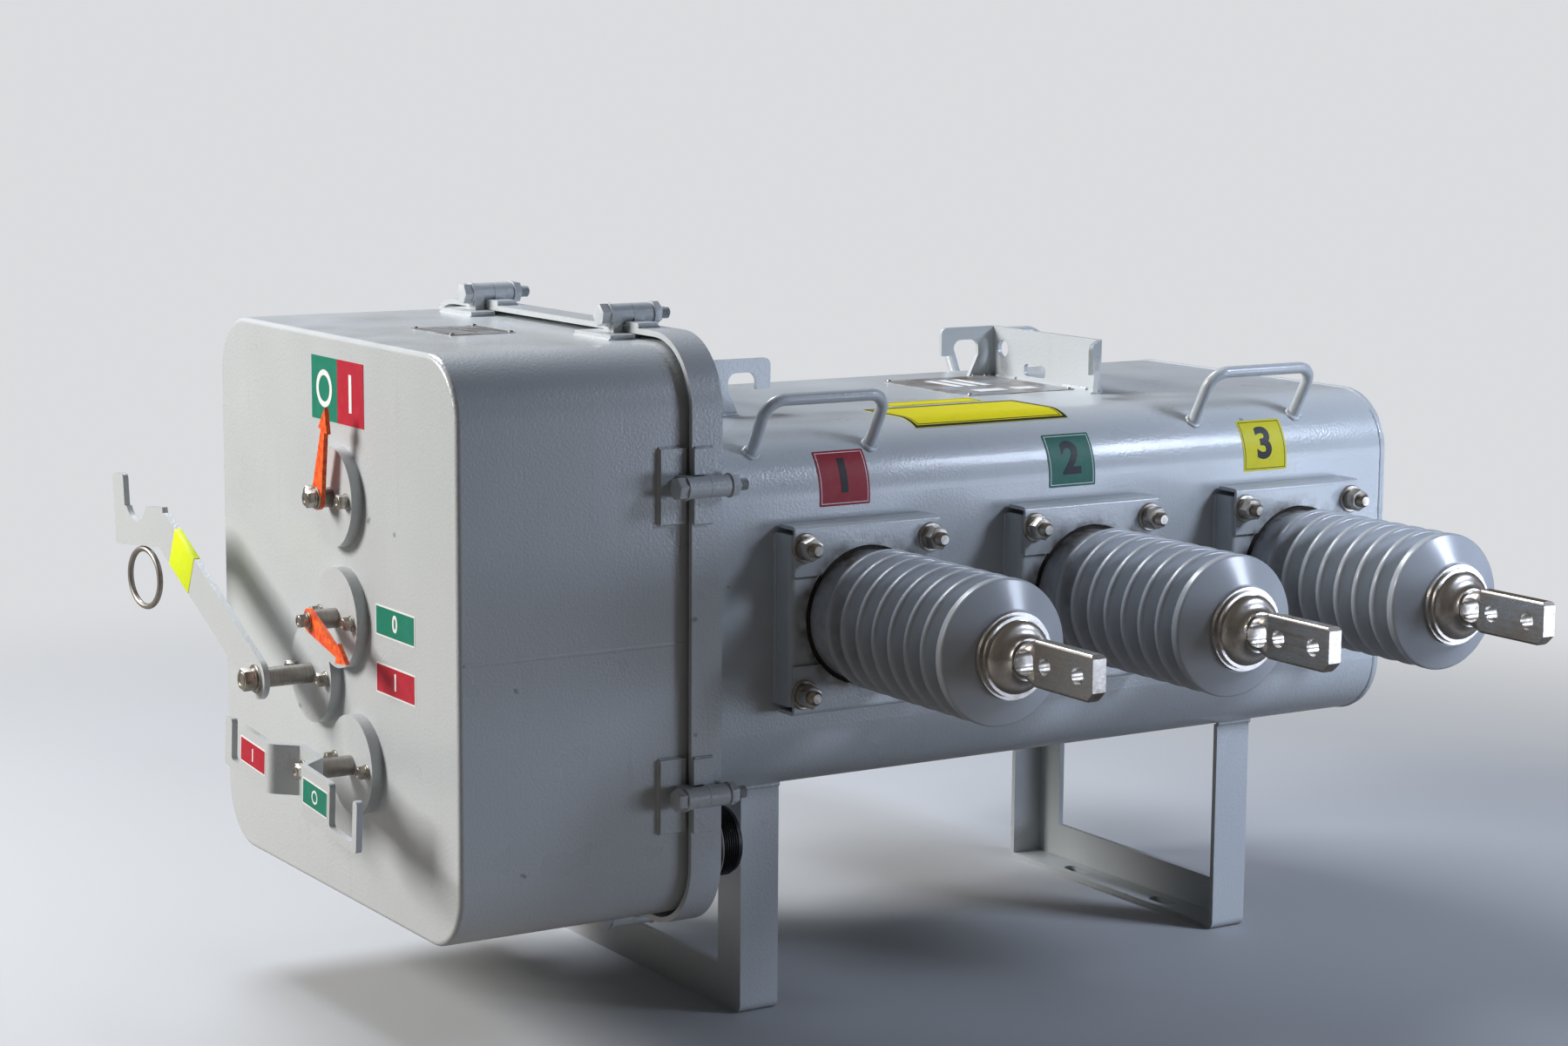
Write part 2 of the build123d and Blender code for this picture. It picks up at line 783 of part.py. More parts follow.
def terminal(name, seat):
    """A round stud, slotted across and flattened into an upright blade with two bolt holes."""
    foot = insulator_reach + end_dome
    start = foot + blade_start
    flat = start + blade_flare
    tip = foot + blade_reach
    along = Plane(origin=seat.origin, x_dir=seat.z_dir, z_dir=seat.z_dir.cross(Vector(0, 0, 1)))
    with BuildPart() as stud:
        with BuildSketch(seat.offset(flat)):
            RectangleRounded(blade_wall, blade_height, blade_edge_round)
        extrude(amount=tip - flat)
        with BuildSketch(along):
            with BuildLine():
                Polyline(
                    (start, -blade_height / 2),
                    (tip - blade_bottom_chamfer, -blade_height / 2),
                    (tip, blade_bottom_chamfer - blade_height / 2),
                    (tip, blade_height / 2 - blade_top_chamfer),
                    (tip - blade_top_chamfer, blade_height / 2),
                    (start, blade_height / 2),
                    close=True,
                )
            make_face()
        extrude(amount=blade_wall, both=True, mode=Mode.INTERSECT)
        with BuildSketch(seat.offset(start)):
            Circle(stud_diameter / 2)
        with BuildSketch(seat.offset(flat)):
            RectangleRounded(blade_wall, blade_height, blade_edge_round)
        loft()
        with BuildSketch(seat.offset(foot)):
            Circle(stud_diameter / 2)
        extrude(amount=blade_start)
        with BuildSketch(along):
            with Locations((foot + stud_slot_reach, 0)):
                SlotOverall(stud_slot_height, stud_slot_width, rotation=90)
            for k in range(2):
                with Locations((tip - terminal_hole_inset - k * terminal_hole_spacing, 0)):
                    Circle(terminal_hole / 2)
        extrude(amount=stud_diameter, both=True, mode=Mode.SUBTRACT)
    save(stud, name)


sides = {"near": -1, "far": 1}
seats = {
    f"{word}_{k + 1}": bushing_plane(place, side)
    for word, side in sides.items()
    for k, place in enumerate(bushing_places)
}
for word, seat in seats.items():
    bushing_base(f"bushing_base_{word}", seat)
    insulator(f"insulator_{word}", seat)
    terminal(f"terminal_{word}", seat)

# Clamp strips above and below each insulator, folded back over the base
with BuildPart() as clamp_strips:
    for seat in seats.values():
        for way in (-1, 1):
            edge = seat.from_local_coords((0, way * base_height / 2, base_depth + strip_wall))
            profile = Plane(origin=edge, x_dir=-seat.z_dir, z_dir=seat.x_dir * way)
            with BuildSketch(profile) as angle:
                with BuildLine():
                    Polyline(
                        (0, 0),
                        (strip_wall + strip_lip, 0),
                        (strip_wall + strip_lip, -strip_wall),
                        (strip_wall, -strip_wall),
                        (strip_wall, -strip_height),
                        (0, -strip_height),
                        close=True,
                    )
                make_face()
                fillet(angle.vertices().sort_by_distance((0, 0))[0], strip_bend)
            extrude(amount=base_width / 2 - strip_inset, both=True)
        with BuildSketch(seat.offset(base_depth)):
            Circle(strip_relief / 2)
        extrude(amount=strip_wall, mode=Mode.SUBTRACT)
save(clamp_strips, "clamp_strips")

# Rubber rings that close the gap around each insulator
with BuildPart() as sealing_rings:
    for seat in seats.values():
        with BuildSketch(seat.offset(base_depth - base_wall)):
            Circle(ring_outer_diameter / 2)
            Circle(ring_inner_diameter / 2, mode=Mode.SUBTRACT)
        extrude(amount=ring_depth)
save(sealing_rings, "sealing_rings")

# Bell-shaped metal caps over the insulators' ends
with BuildPart() as terminal_caps:
    bore = stud_diameter / 2 + cap_bore_gap
    for seat in seats.values():
        with BuildSketch(axis_plane(seat.offset(insulator_reach + end_dome))):
            with BuildLine():
                Polyline(
                    (cap_neck / 2, cap_height),
                    (bore, cap_height),
                    (bore, 0),
                    (cap_diameter / 2, 0),
                    (cap_diameter / 2, cap_lip),
                    (cap_step_diameter / 2, cap_lip),
                    (cap_step_diameter / 2, cap_lip + cap_step),
                    (cap_shoulder / 2, cap_lip + cap_step),
                )
                bulge = RadiusArc(
                    (cap_shoulder / 2, cap_lip + cap_step),
                    (cap_bulge_diameter / 2, cap_bulge_height),
                    -cap_bulge_round,
                )
                TangentArc(bulge @ 1, (cap_neck / 2, cap_height), tangent=bulge % 1)
            make_face()
        revolve(axis=Axis(seat.origin, seat.z_dir))
save(terminal_caps, "terminal_caps")

# Round cable socket on the back of the flange
with BuildPart() as cable_socket:
    socket_plane = Plane(
        origin=(tank_front, socket_y, cover_middle + socket_rise), x_dir=(0, 1, 0), z_dir=(1, 0, 0)
    )
    with BuildSketch(socket_plane):
        Circle(socket_plate_diameter / 2)
    extrude(amount=socket_plate)
    with BuildSketch(socket_plane.offset(socket_plate)):
        Circle(socket_diameter / 2)
    extrude(amount=socket_depth)
    with BuildSketch(socket_plane.offset(socket_plate + socket_depth - socket_bore_depth)):
        Circle(socket_bore / 2)
    extrude(amount=socket_bore_depth, mode=Mode.SUBTRACT)
save(cable_socket, "cable_socket")
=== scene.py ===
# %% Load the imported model
import json
from math import cos, pi, radians, sin, tau
import bmesh
import bpy
from mathutils import Matrix, Vector, noise


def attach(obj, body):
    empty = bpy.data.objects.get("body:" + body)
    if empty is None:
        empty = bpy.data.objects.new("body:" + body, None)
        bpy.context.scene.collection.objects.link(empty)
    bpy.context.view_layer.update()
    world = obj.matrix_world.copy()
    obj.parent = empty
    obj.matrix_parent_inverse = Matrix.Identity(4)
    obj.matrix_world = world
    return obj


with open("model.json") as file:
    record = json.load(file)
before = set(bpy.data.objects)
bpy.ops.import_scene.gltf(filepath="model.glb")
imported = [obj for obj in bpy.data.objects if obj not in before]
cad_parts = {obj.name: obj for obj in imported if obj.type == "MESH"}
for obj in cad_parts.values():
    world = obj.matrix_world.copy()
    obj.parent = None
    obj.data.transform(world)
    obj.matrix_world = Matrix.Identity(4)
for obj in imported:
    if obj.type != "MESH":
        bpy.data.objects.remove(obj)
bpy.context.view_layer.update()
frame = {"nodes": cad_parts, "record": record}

nodes = frame["nodes"]

# %% [markdown]
# The switch stands in one frame shared with the CAD model: metres here, +Z up, the mechanism
# cover facing -X and the photographed bushings facing -Y. The few places that the added pieces
# need are written once in millimetres, as on the drawing, and one helper turns them to metres.
# Values could also be read from each node's box, but the drawing's own numbers say what they are.

# %% Places on the switch, in millimetres
MM = 0.001
NEAR, FAR = -1, 1
COVER_FRONT = -433
COVER_TOP = 559
COVER_SIDE = 225.5
COVER_MIDDLE = 332.5
COVER_HALF = 226.5
BOSS_FRONT = -443
FLANGE_BACK = -211
TANK_REAR = 503
TANK_SIDE = 193.5
TANK_ROOF = 483
TANK_HALF = 147
TANK_ROUND = 54
BUSHING_STEP = 223.5
BUSHING_X = tuple(-66.5 + BUSHING_STEP * k for k in range(3))
BUSHING_Z = 336
SPINDLES = {
    "position": (-21, 433),
    "charge": (-28, 337.5),
    "handle": (23, 284.5),
    "lever": (-53, 223.5),
}


def at(x, y, z):
    """A place in millimetres, as a vector in metres."""
    return Vector((x, y, z)) * MM


print("spindles:", ", ".join(SPINDLES))

# %% [markdown]
# Every material below is a small node tree. Colours are read off the real finish as sRGB hex
# values, and Blender wants them linear, so one function turns them. One more function adds a
# node, sets it and links it. The kinds that come up again and again have a short name each, which
# keeps a tree down to a list of what feeds what.

# %% Colour and node helpers
MIX_FIRST, MIX_SECOND, MIX_RESULT = 6, 7, 2  # the colour sockets of a Mix node


def linear(code):
    """sRGB hex to linear RGBA."""
    parts = [int(code[k:k + 2], 16) / 255 for k in (1, 3, 5)]
    levels = [p / 12.92 if p <= 0.04045 else ((p + 0.055) / 1.055) ** 2.4 for p in parts]
    return (*levels, 1.0)


def add(tree, kind, inputs=None, **settings):
    """Add one node: settings are its properties, inputs are values or sockets by name or number."""
    made = tree.nodes.new("ShaderNode" + kind)
    for key, value in settings.items():
        setattr(made, key, value)
    for key, value in (inputs or {}).items():
        if isinstance(value, bpy.types.NodeSocket):
            tree.links.new(value, made.inputs[key])
        else:
            made.inputs[key].default_value = value
    return made


def mix(tree, factor, *colours):
    """Two colours mixed by a factor; each is a hex code or a socket."""
    first, second = (linear(c) if isinstance(c, str) else c for c in colours)
    inputs = {"Factor": factor, MIX_FIRST: first, MIX_SECOND: second}
    return add(tree, "Mix", inputs, data_type="RGBA").outputs[MIX_RESULT]


def ramp(tree, value, start, end, low=0.0, high=1.0, **settings):
    """Turn start to end of a value into low to high, and hold it there."""
    inputs = {"Value": value, "From Min": start, "From Max": end, "To Min": low, "To Max": high}
    return add(tree, "MapRange", inputs, **settings).outputs["Result"]


def calc(tree, operation, *values, **settings):
    """One sum on values or sockets."""
    made = add(tree, "Math", dict(enumerate(values)), operation=operation, **settings)
    return made.outputs["Value"]


def clouds(tree, place, size, detail, rough=0.5):
    """Noise with lumps of one size in metres, or of a size along each axis."""
    if isinstance(size, tuple):
        drawn = add(tree, "Mapping", {"Vector": place, "Scale": tuple(1 / s for s in size)})
        place, size = drawn.outputs["Vector"], 1.0
    inputs = {"Vector": place, "Scale": 1 / size, "Detail": detail, "Roughness": rough}
    return add(tree, "TexNoise", inputs).outputs["Fac"]


def relief(tree, height, strength, distance, **under):
    """Bump of a height in metres, on top of another one's Normal where that is given."""
    inputs = {"Height": height, "Strength": strength, "Distance": distance, **under}
    return add(tree, "Bump", inputs).outputs["Normal"]


def feed(tree, shader, **sockets):
    """Link sockets to the shader's inputs, which are named with _ for a space."""
    for key, socket in sockets.items():
        tree.links.new(socket, shader.inputs[key.replace("_", " ")])


def finish(name, **values):
    """A new material with its shader's constants set: returns material, tree, shader, place."""
    material = bpy.data.materials.new(name)
    material.use_nodes = True
    tree = material.node_tree
    shader = tree.nodes["Principled BSDF"]
    for key, value in values.items():
        shader.inputs[key.replace("_", " ")].default_value = value
    place = add(tree, "TexCoord").outputs["Object"]
    return material, tree, shader, place


def bushing_place(tree, place):
    """Distance from the nearest bushing's axis and from the tank's middle, height over it, and X."""
    axes = add(tree, "SeparateXYZ", {"Vector": place}).outputs
    middle, half = BUSHING_X[0] * MM, BUSHING_STEP / 2 * MM
    along = calc(tree, "WRAP", axes["X"], middle + half, middle - half)
    across = calc(tree, "SUBTRACT", along, middle)
    height = calc(tree, "SUBTRACT", axes["Z"], BUSHING_Z * MM)
    spoke = add(tree, "CombineXYZ", {"X": across, "Y": height})
    radius = add(tree, "VectorMath", {0: spoke.outputs["Vector"]}, operation="LENGTH")
    reach = calc(tree, "ABSOLUTE", axes["Y"])
    return radius.outputs["Value"], reach, height, axes["X"]


print("white is", linear("#FFFFFF")[:3])

# %% [markdown]
# The tank, cover, legs and brackets are welded sheet steel under one pale grey powder coat. It is
# sprayed as dry powder and melted, so it is glossy but carries an orange peel of soft bumps about
# 2 mm across, which breaks every highlight into sparkle. The coat has been handled: a few faint
# brown runs, a few dark scuffs, and brown grime round each bushing where rain has washed dust on
# to the base. A flat grey would look like plastic, so each of these is a noise at its own real size.

# %% Powder coat
def powder_coat(name, clean, shade, streak_level):
    """Glossy grey powder coat: orange peel, faint streaks, scuffs and brown dirt round the bushings.
    """
    # a melted coat: soft wide highlights, broken up by the peel
    material, tree, shader, place = finish(name, Coat_Weight=0.25, Coat_Roughness=0.12, IOR=1.5)
    tone = mix(tree, clouds(tree, place, 0.16, 3.0), clean, shade)
    # run-down streaks: 12 mm wide and 200 mm long, in patches of 70 mm
    runs = clouds(tree, place, (0.012, 0.012, 0.2), 5.0, 0.7)
    patch = clouds(tree, place, 0.07, 3.0)
    streaks = ramp(tree, runs, 0.52, 0.78, 0.0, streak_level)
    dirt = calc(tree, "MULTIPLY", streaks, ramp(tree, patch, 0.45, 0.7))
    dirty = mix(tree, dirt, tone, "#8A7F70")
    # dark scuffs: 3 mm marks, at most one in each cell of 55 mm
    warp = clouds(tree, place, 0.012, 2.0)
    swing = {0: warp.node.outputs["Color"], 1: (0.012, 0.012, 0.012), 2: place}
    bent = add(tree, "VectorMath", swing, operation="MULTIPLY_ADD").outputs["Vector"]
    cells = add(tree, "TexVoronoi", {"Vector": bent, "Scale": 1 / 0.055}).outputs
    marks = ramp(tree, cells["Distance"], 0.055, 0.03, 0.0, 0.5)
    scuff = calc(tree, "MULTIPLY", marks, ramp(tree, cells["Color"], 0.62, 0.66))
    scuffed = mix(tree, scuff, dirty, "#5B5852")
    # brown grime on the bushing bases, within 12 mm of the sealing ring
    radius, reach, _, forward = bushing_place(tree, place)
    near = ramp(tree, radius, 0.069, 0.057)
    proud = ramp(tree, reach, 0.2, 0.205)
    based = calc(tree, "MULTIPLY", proud, calc(tree, "GREATER_THAN", forward, -0.2))
    rim = calc(tree, "MULTIPLY", near, based)
    brown = calc(tree, "MULTIPLY", rim, ramp(tree, warp, 0.35, 0.7, 0.0, 0.85))
    grimy = mix(tree, brown, scuffed, "#54432F")
    gloss = ramp(tree, patch, 0.3, 0.75, 0.26, 0.42)
    # orange peel: 2.3 mm bumps; a slow 70 mm waviness of the sheet under them
    peel = clouds(tree, place, 0.0023, 1.5, 0.45)
    slow = relief(tree, clouds(tree, place, 0.07, 1.0), 0.12, 0.004)
    skin = relief(tree, peel, 0.45, 0.0006, Normal=slow)
    feed(tree, shader, Base_Color=grimy, Roughness=gloss, Normal=skin)
    return material


coat = powder_coat("powder_coat_grey", "#C3C9CC", "#BCC2C6", 0.2)
print("made", coat.name)

# %% [markdown]
# The insulators are cast cycloaliphatic resin: a glossy, slightly bluish light grey that comes out
# of a polished mould without grain. The grooves near the tank end are darkened in blotches that
# thin out towards the terminal: painted shade, partly also dirt. The groove depth is found from the
# distance to the bushing's axis, which repeats every 223.5 mm along X, so one material serves all six.

# %% Cast resin
resin, tree, shader, place = finish("cast_resin_grey", Coat_Weight=0.15, Coat_Roughness=0.12, IOR=1.5)
radius, reach, height, _ = bushing_place(tree, place)
smear = clouds(tree, place, 0.02, 5.0, 0.65)
smears = ramp(tree, smear, 0.38, 0.72)
# painted shade: the grooves between the sheds near the tank end are darkened, in blotches that are
# partly dirt
groove = ramp(tree, radius, 0.0565, 0.05)
depth = calc(tree, "MULTIPLY", groove, ramp(tree, reach, 0.300, 0.225))
groove_dirt_and_shade = calc(tree, "MULTIPLY", depth, smears)
# rust that rain has carried on to the top of the collar
collar = ramp(tree, reach, 0.248, 0.232)
rained = calc(tree, "MULTIPLY", collar, ramp(tree, height, 0.028, 0.046))
rust = calc(tree, "MULTIPLY", rained, smears)
# the dark brown carries the real rust on the collar and the painted shade of the grooves
rust_dirt_and_shade = calc(tree, "MULTIPLY_ADD", groove_dirt_and_shade, 0.8, rust, use_clamp=True)
soiled_and_shaded = mix(tree, rust_dirt_and_shade, mix(tree, smear, "#BCC2C8", "#B4BAC0"), "#6A5A48")
sheen = ramp(tree, groove_dirt_and_shade, 0.0, 1.0, 0.27, 0.6)
dimple = relief(tree, clouds(tree, place, 0.012, 2.0), 0.05, 0.001)
feed(tree, shader, Base_Color=soiled_and_shaded, Roughness=sheen, Normal=dimple)
print("made", resin.name)

# %% [markdown]
# Bare metal comes in four kinds here. The terminal blades are copper bar, tinned in a bath, so they
# are silver with soft drawn streaks along the bar. The caps are spun aluminium, satin. Bolts are
# zinc plated: a pale grey with a faint warm haze. Only the clamp bolts are not bare: they were
# coated with the cover. Spindles and the pull ring are plain turned steel that has dulled. One
# function makes all four from two colours, a roughness and the streaks' real size.

# %% Bare metals
def bare_metal(name, bright, dull, rough, fine, streak, bump):
    """Metal with spots of one size in metres and drawn streaks of a size along each axis."""
    material, tree, shader, place = finish(name, Metallic=1.0)
    lines = clouds(tree, place, streak, 4.0, 0.65)
    both = calc(tree, "MULTIPLY", lines, clouds(tree, place, fine, 4.0, 0.7))
    worn = ramp(tree, both, 0.16, 0.38)
    tone = mix(tree, worn, bright, dull)
    gloss = ramp(tree, worn, 0.0, 1.0, rough, rough + 0.14)
    grain = relief(tree, lines, bump, 0.0003)
    feed(tree, shader, Base_Color=tone, Roughness=gloss, Normal=grain)
    return material


tinned = bare_metal("tinned_copper", "#CFCCC6", "#A0978C", 0.26, 0.03, (0.004, 0.06, 0.004), 0.12)
satin = bare_metal("satin_aluminium", "#D2D0CC", "#B4AEA6", 0.26, 0.03, (0.01, 0.01, 0.01), 0.08)
zinc = bare_metal("zinc_plated_steel", "#BDBAB4", "#8F877C", 0.3, 0.01, (0.006, 0.006, 0.006), 0.1)
steel = bare_metal("dulled_turned_steel", "#A3A09B", "#86817B", 0.4, 0.02, (0.0012, 0.02, 0.02), 0.15)
print("made", tinned.name, satin.name, zinc.name, steel.name)

# %% [markdown]
# The two pointers were painted by hand in fluorescent orange over primer, so the paint is thick in
# places, thin and darker in others, and slightly rough. Rubber rings and the cable socket are
# black: the rubber dull with pale dust, the socket a moulded thermoset with a soft gloss.

# %% Paint, rubber and moulded black
def speckled(name, first, second, size, rough, bump, metal=0.0):
    """Two colours mixed by a noise of the given size in metres, with a matching fine bump."""
    material, tree, shader, place = finish(name, Roughness=rough, Metallic=metal)
    blot = clouds(tree, place, size, 6.0, 0.7)
    tone = mix(tree, ramp(tree, blot, 0.4, 0.62), first, second)
    feed(tree, shader, Base_Color=tone, Normal=relief(tree, blot, bump, 0.0005))
    return material


orange = speckled("fluorescent_orange_paint", "#FF7426", "#E03A0A", 0.005, 0.42, 0.6)
rubber = speckled("sealing_rubber", "#1B1917", "#37312A", 0.006, 0.75, 0.4)
black = speckled("black_thermoset", "#141517", "#24262A", 0.004, 0.38, 0.3)
print("made", orange.name, rubber.name, black.name)

# %% [markdown]
# Each CAD node keeps its mesh and only gets its finish. The record already says which slot a node
# belongs to, so the slot's name picks the material.

# %% Finishes on the CAD nodes
by_slot = {
    "grey_powder_coat": coat,
    "cast_resin": resin,
    "tinned_metal": tinned,
    "cap_metal": satin,
    "zinc_steel": steel,
    "orange_paint": orange,
    "sealing_rubber": rubber,
    "black_socket": black,
}
for row in frame["record"]["subparts"]:
    mesh = nodes[row["node"]].data
    mesh.materials.clear()
    mesh.materials.append(by_slot[row["material_slot"]])

# %% [markdown]
# Everything screwed or glued to the switch is modelled here, not in CAD. A piece is a bmesh that is
# closed into an object at the origin, given its material and told which body it moves with.
# Repeated pieces are made once and stamped at each place, so all bolts of a kind are one object.

# %% Piece helpers
MERGE = 1e-6  # points closer than this, in metres, are one


def piece(name, bm, material, body, sharp=35):
    """Close a bmesh into a named object that rides on a body."""
    mesh = bpy.data.meshes.new(name)
    bm.to_mesh(mesh)
    bm.free()
    mesh.materials.append(material)
    mesh.shade_smooth()
    mesh.set_sharp_from_angle(angle=radians(sharp))
    thing = bpy.data.objects.new(name, mesh)
    bpy.context.scene.collection.objects.link(thing)
    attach(thing, body)
    print(name, len(mesh.polygons), "faces on", body)


def aim(place, direction, turn=0.0):
    """Matrix that puts local Z along a direction at a place in millimetres."""
    tilt = Vector(direction).to_track_quat("Z", "Y").to_matrix().to_4x4()
    return Matrix.Translation(at(*place)) @ tilt @ Matrix.Rotation(turn, 4, "Z")


def stamp(bm, shape, matrix):
    """Add a copy of a finished mesh to a bmesh, moved by a matrix."""
    before = len(bm.verts)
    bm.from_mesh(shape)
    bm.verts.ensure_lookup_table()
    bmesh.ops.transform(bm, matrix=matrix, verts=bm.verts[before:])


def joined(*parts):
    """One mesh from several bmeshes, to be stamped."""
    whole = bmesh.new()
    for part in parts:
        single = bpy.data.meshes.new("part")
        part.to_mesh(single)
        part.free()
        whole.from_mesh(single)
    shape = bpy.data.meshes.new("shape")
    whole.to_mesh(shape)
    whole.free()
    return shape


def soften(bm, geom, width, segments=2, affect="EDGES"):
    """Round off edges or corners by a width in millimetres."""
    bmesh.ops.bevel(bm, geom=geom, offset=width * MM, segments=segments, profile=0.5,
                    affect=affect, material=-1)


def turned(profile, steps=28):
    """Spin a half profile of (radius, height) in millimetres round Z."""
    bm = bmesh.new()
    verts = [bm.verts.new((r * MM, 0, h * MM)) for r, h in profile]
    edges = [bm.edges.new(pair) for pair in zip(verts, verts[1:])]
    bmesh.ops.spin(bm, geom=verts + edges, axis=(0, 0, 1), cent=(0, 0, 0), angle=tau,
                   steps=steps, use_merge=True)
    bmesh.ops.remove_doubles(bm, verts=bm.verts, dist=MERGE)
    bmesh.ops.recalc_face_normals(bm, faces=bm.faces)
    return bm


def hexagon(across, low, high, edge):
    """Hexagon prism of a bolt head or nut, in millimetres, its upper edges rounded off."""
    bm = bmesh.new()
    corner = across / 2 / cos(pi / 6) * MM
    bmesh.ops.create_cone(bm, cap_ends=True, segments=6, radius1=corner, radius2=corner,
                          depth=(high - low) * MM)
    bmesh.ops.translate(bm, verts=bm.verts, vec=(0, 0, (high + low) / 2 * MM))
    soften(bm, [e for e in bm.edges if min(v.co.z for v in e.verts) > (high - 0.01) * MM], edge)
    return bm


def washer(outer, inner, low, high, edge=0.4):
    """Flat round washer in millimetres."""
    upper = [(outer, high - edge), (outer - edge, high), (inner, high)]
    return turned([(inner, low), (outer, low), *upper, (inner, low)])


def threaded(radius, low, high, pitch):
    """Screw end drawn as rings of the thread's pitch, with a chamfered tip."""
    root = radius - 0.6 * pitch
    profile = [(0, low), (root, low)]
    for k in range(int((high - low) / pitch)):
        profile += [(radius, low + (k + 0.5) * pitch), (root, low + (k + 1) * pitch)]
    return turned(profile + [(root - 0.5 * pitch, high), (0, high)], 20)


def dished(outer, high):
    """Raised rim and sunk middle on top of a stamped bolt head, in millimetres."""
    middle = [(0, high - 0.2), (0.6 * outer, high - 0.1)]
    return turned(middle + [(0.7 * outer, high + 0.5), (outer, high + 0.5), (outer + 0.3, high - 0.2)])


def bolt(bore, flat, spring, across, edge, dish, tops):
    """A bolt head on a flat washer and a spring washer; tops are their three upper faces."""
    seat, lock, top = tops
    return joined(washer(flat, bore, 0, seat), washer(spring, bore, seat, lock),
                  hexagon(across, lock, top, edge), dished(dish, top))


print("helpers ready")

# %% [markdown]
# Bolts hold everything together, and the eye looks for them: a washer, a head or nut with softened
# corners and, at a stud, the thread's end. A screw thread could be modelled as a helix, but at this
# size rings of the right pitch look the same and need a fraction of the faces. No two heads stop at
# the same angle, so each one is turned a little further than the last.

# %% Screws of the bearing bosses
BOSS_SCREW_OUT = 30
boss_screw = bolt(3, 6.4, 5.4, 10, 0.7, 4.2, (1.2, 2.8, 8))
bm = bmesh.new()
for k, (y, z) in enumerate(SPINDLES.values()):
    for way in (-1, 1):
        spot = (BOSS_FRONT, y + way * BOSS_SCREW_OUT, z)
        stamp(bm, boss_screw, aim(spot, (-1, 0, 0), 0.3 + 0.5 * k + way))
piece("boss_screws", bm, zinc, "switch")

# %% Hub bolts, one on each moving piece
small_bolt = bolt(3, 7, 5.6, 10, 0.7, 4.2, (1.4, 3, 8.4))
hub_bolt = bolt(4, 9, 7.4, 13, 0.9, 5.4, (1.6, 3.6, 9.4))
large_bolt = bolt(5, 11.5, 9, 16.5, 1.2, 6.8, (2, 4.6, 12.6))
flat_bolt = joined(washer(8.6, 4, 0, 1.6), hexagon(11, 1.6, 7, 0.8), dished(4.6, 7))
# spindle, the face under the washer, the bolt, the body it moves with, and its turn
HUBS = (
    ("position", -455, hub_bolt, "position_indicator", 0.2),
    ("charge", -466.5, small_bolt, "charge_indicator", 0.7),
    ("handle", -490, large_bolt, "charging_crank", 0.35),
    ("lever", -483, flat_bolt, "lever", 0.1),
)
for key, face, shape, body, turn in HUBS:
    bm = bmesh.new()
    stamp(bm, shape, aim((face, *SPINDLES[key]), (-1, 0, 0), turn))
    piece(key + "_hub_bolt", bm, zinc, body)

# %% Clamp bolts along the flange
CLAMP_ALONG = 121
CLAMP_RISE = 17.5
CLAMP_FRONT, CLAMP_BACK = -248.65, -211.35
clamp_head = joined(washer(9.6, 5, 0, 1.6), hexagon(16, 1.6, 9.3, 1.2))
clamp_nut = joined(washer(9.6, 5, 0, 1.6), hexagon(16, 1.6, 7.5, 1.0), threaded(4.9, 7.5, 17, 1.5))
clamp_places = []
for way in (-1, 1):
    for along in (-CLAMP_ALONG, CLAMP_ALONG):
        clamp_places.append((way * (COVER_SIDE + CLAMP_RISE), COVER_MIDDLE + along))
        clamp_places.append((along, COVER_MIDDLE + way * (COVER_HALF + CLAMP_RISE)))
bm = bmesh.new()
for k, (y, z) in enumerate(clamp_places):
    stamp(bm, clamp_head, aim((CLAMP_FRONT, y, z), (-1, 0, 0), 0.37 * k))
    stamp(bm, clamp_nut, aim((CLAMP_BACK, y, z), (1, 0, 0), 0.23 * k))
piece("clamp_bolts", bm, coat, "switch")

# %% Studs that hold the insulators
STUD_ACROSS, STUD_UP, STUD_FACE = 59.85, 59, 219.5
CORNERS = ((-1, -1), (1, -1), (-1, 1), (1, 1))
base_stud = joined(washer(12, 5, 0, 2.4, 0.6), washer(9.5, 5, 2.4, 5.2),
                   hexagon(17, 5.2, 13.6, 1.2), threaded(5.8, 13.6, 20.5, 1.75))
bm = bmesh.new()
for side in (NEAR, FAR):
    for i, x in enumerate(BUSHING_X):
        for j, (sx, sz) in enumerate(CORNERS):
            spot = (x + sx * STUD_ACROSS, side * STUD_FACE, BUSHING_Z + sz * STUD_UP)
            stamp(bm, base_stud, aim(spot, (0, side, 0), 0.31 * i + 0.47 * j))
piece("base_studs", bm, zinc, "switch")

# %% [markdown]
# The control cable's socket sits behind the flange: a bright plate held by four small screws and a
# black barrel with a coarse thread for the plug's coupling ring. The CAD barrel is plain, so a
# sleeve of thread rings goes over it, and the plate gets a bright face of its own.

# %% Socket trim
SOCKET_Y, SOCKET_Z = -194, 161.5
SOCKET_SCREW_OUT = 30.2
THREAD_ROOT, THREAD_CREST, THREAD_START, THREAD_PITCH = 26.6, 28.2, 9, 2
on_socket = aim((FLANGE_BACK, SOCKET_Y, SOCKET_Z), (1, 0, 0))

ridge = ((THREAD_CREST, 0.7), (THREAD_CREST, 1.1), (THREAD_ROOT, 2))
rings = [(r, THREAD_START + THREAD_PITCH * k + s) for k in range(8) for r, s in ridge]
neck = [(THREAD_ROOT, 8), (THREAD_ROOT, THREAD_START)]
bm = turned(neck + rings + [(22.2, 27.8), (22.2, 27.0), (THREAD_ROOT, 8)], 48)
bmesh.ops.transform(bm, matrix=on_socket, verts=bm.verts)
piece("socket_thread", bm, black, "switch", 20)

bm = turned([(26.7, 6), (33.2, 6), (33.6, 6.4), (33.2, 7.2), (27.2, 7.2), (26.7, 6.8), (26.7, 6)], 48)
bmesh.ops.transform(bm, matrix=on_socket, verts=bm.verts)
piece("socket_face", bm, satin, "switch")

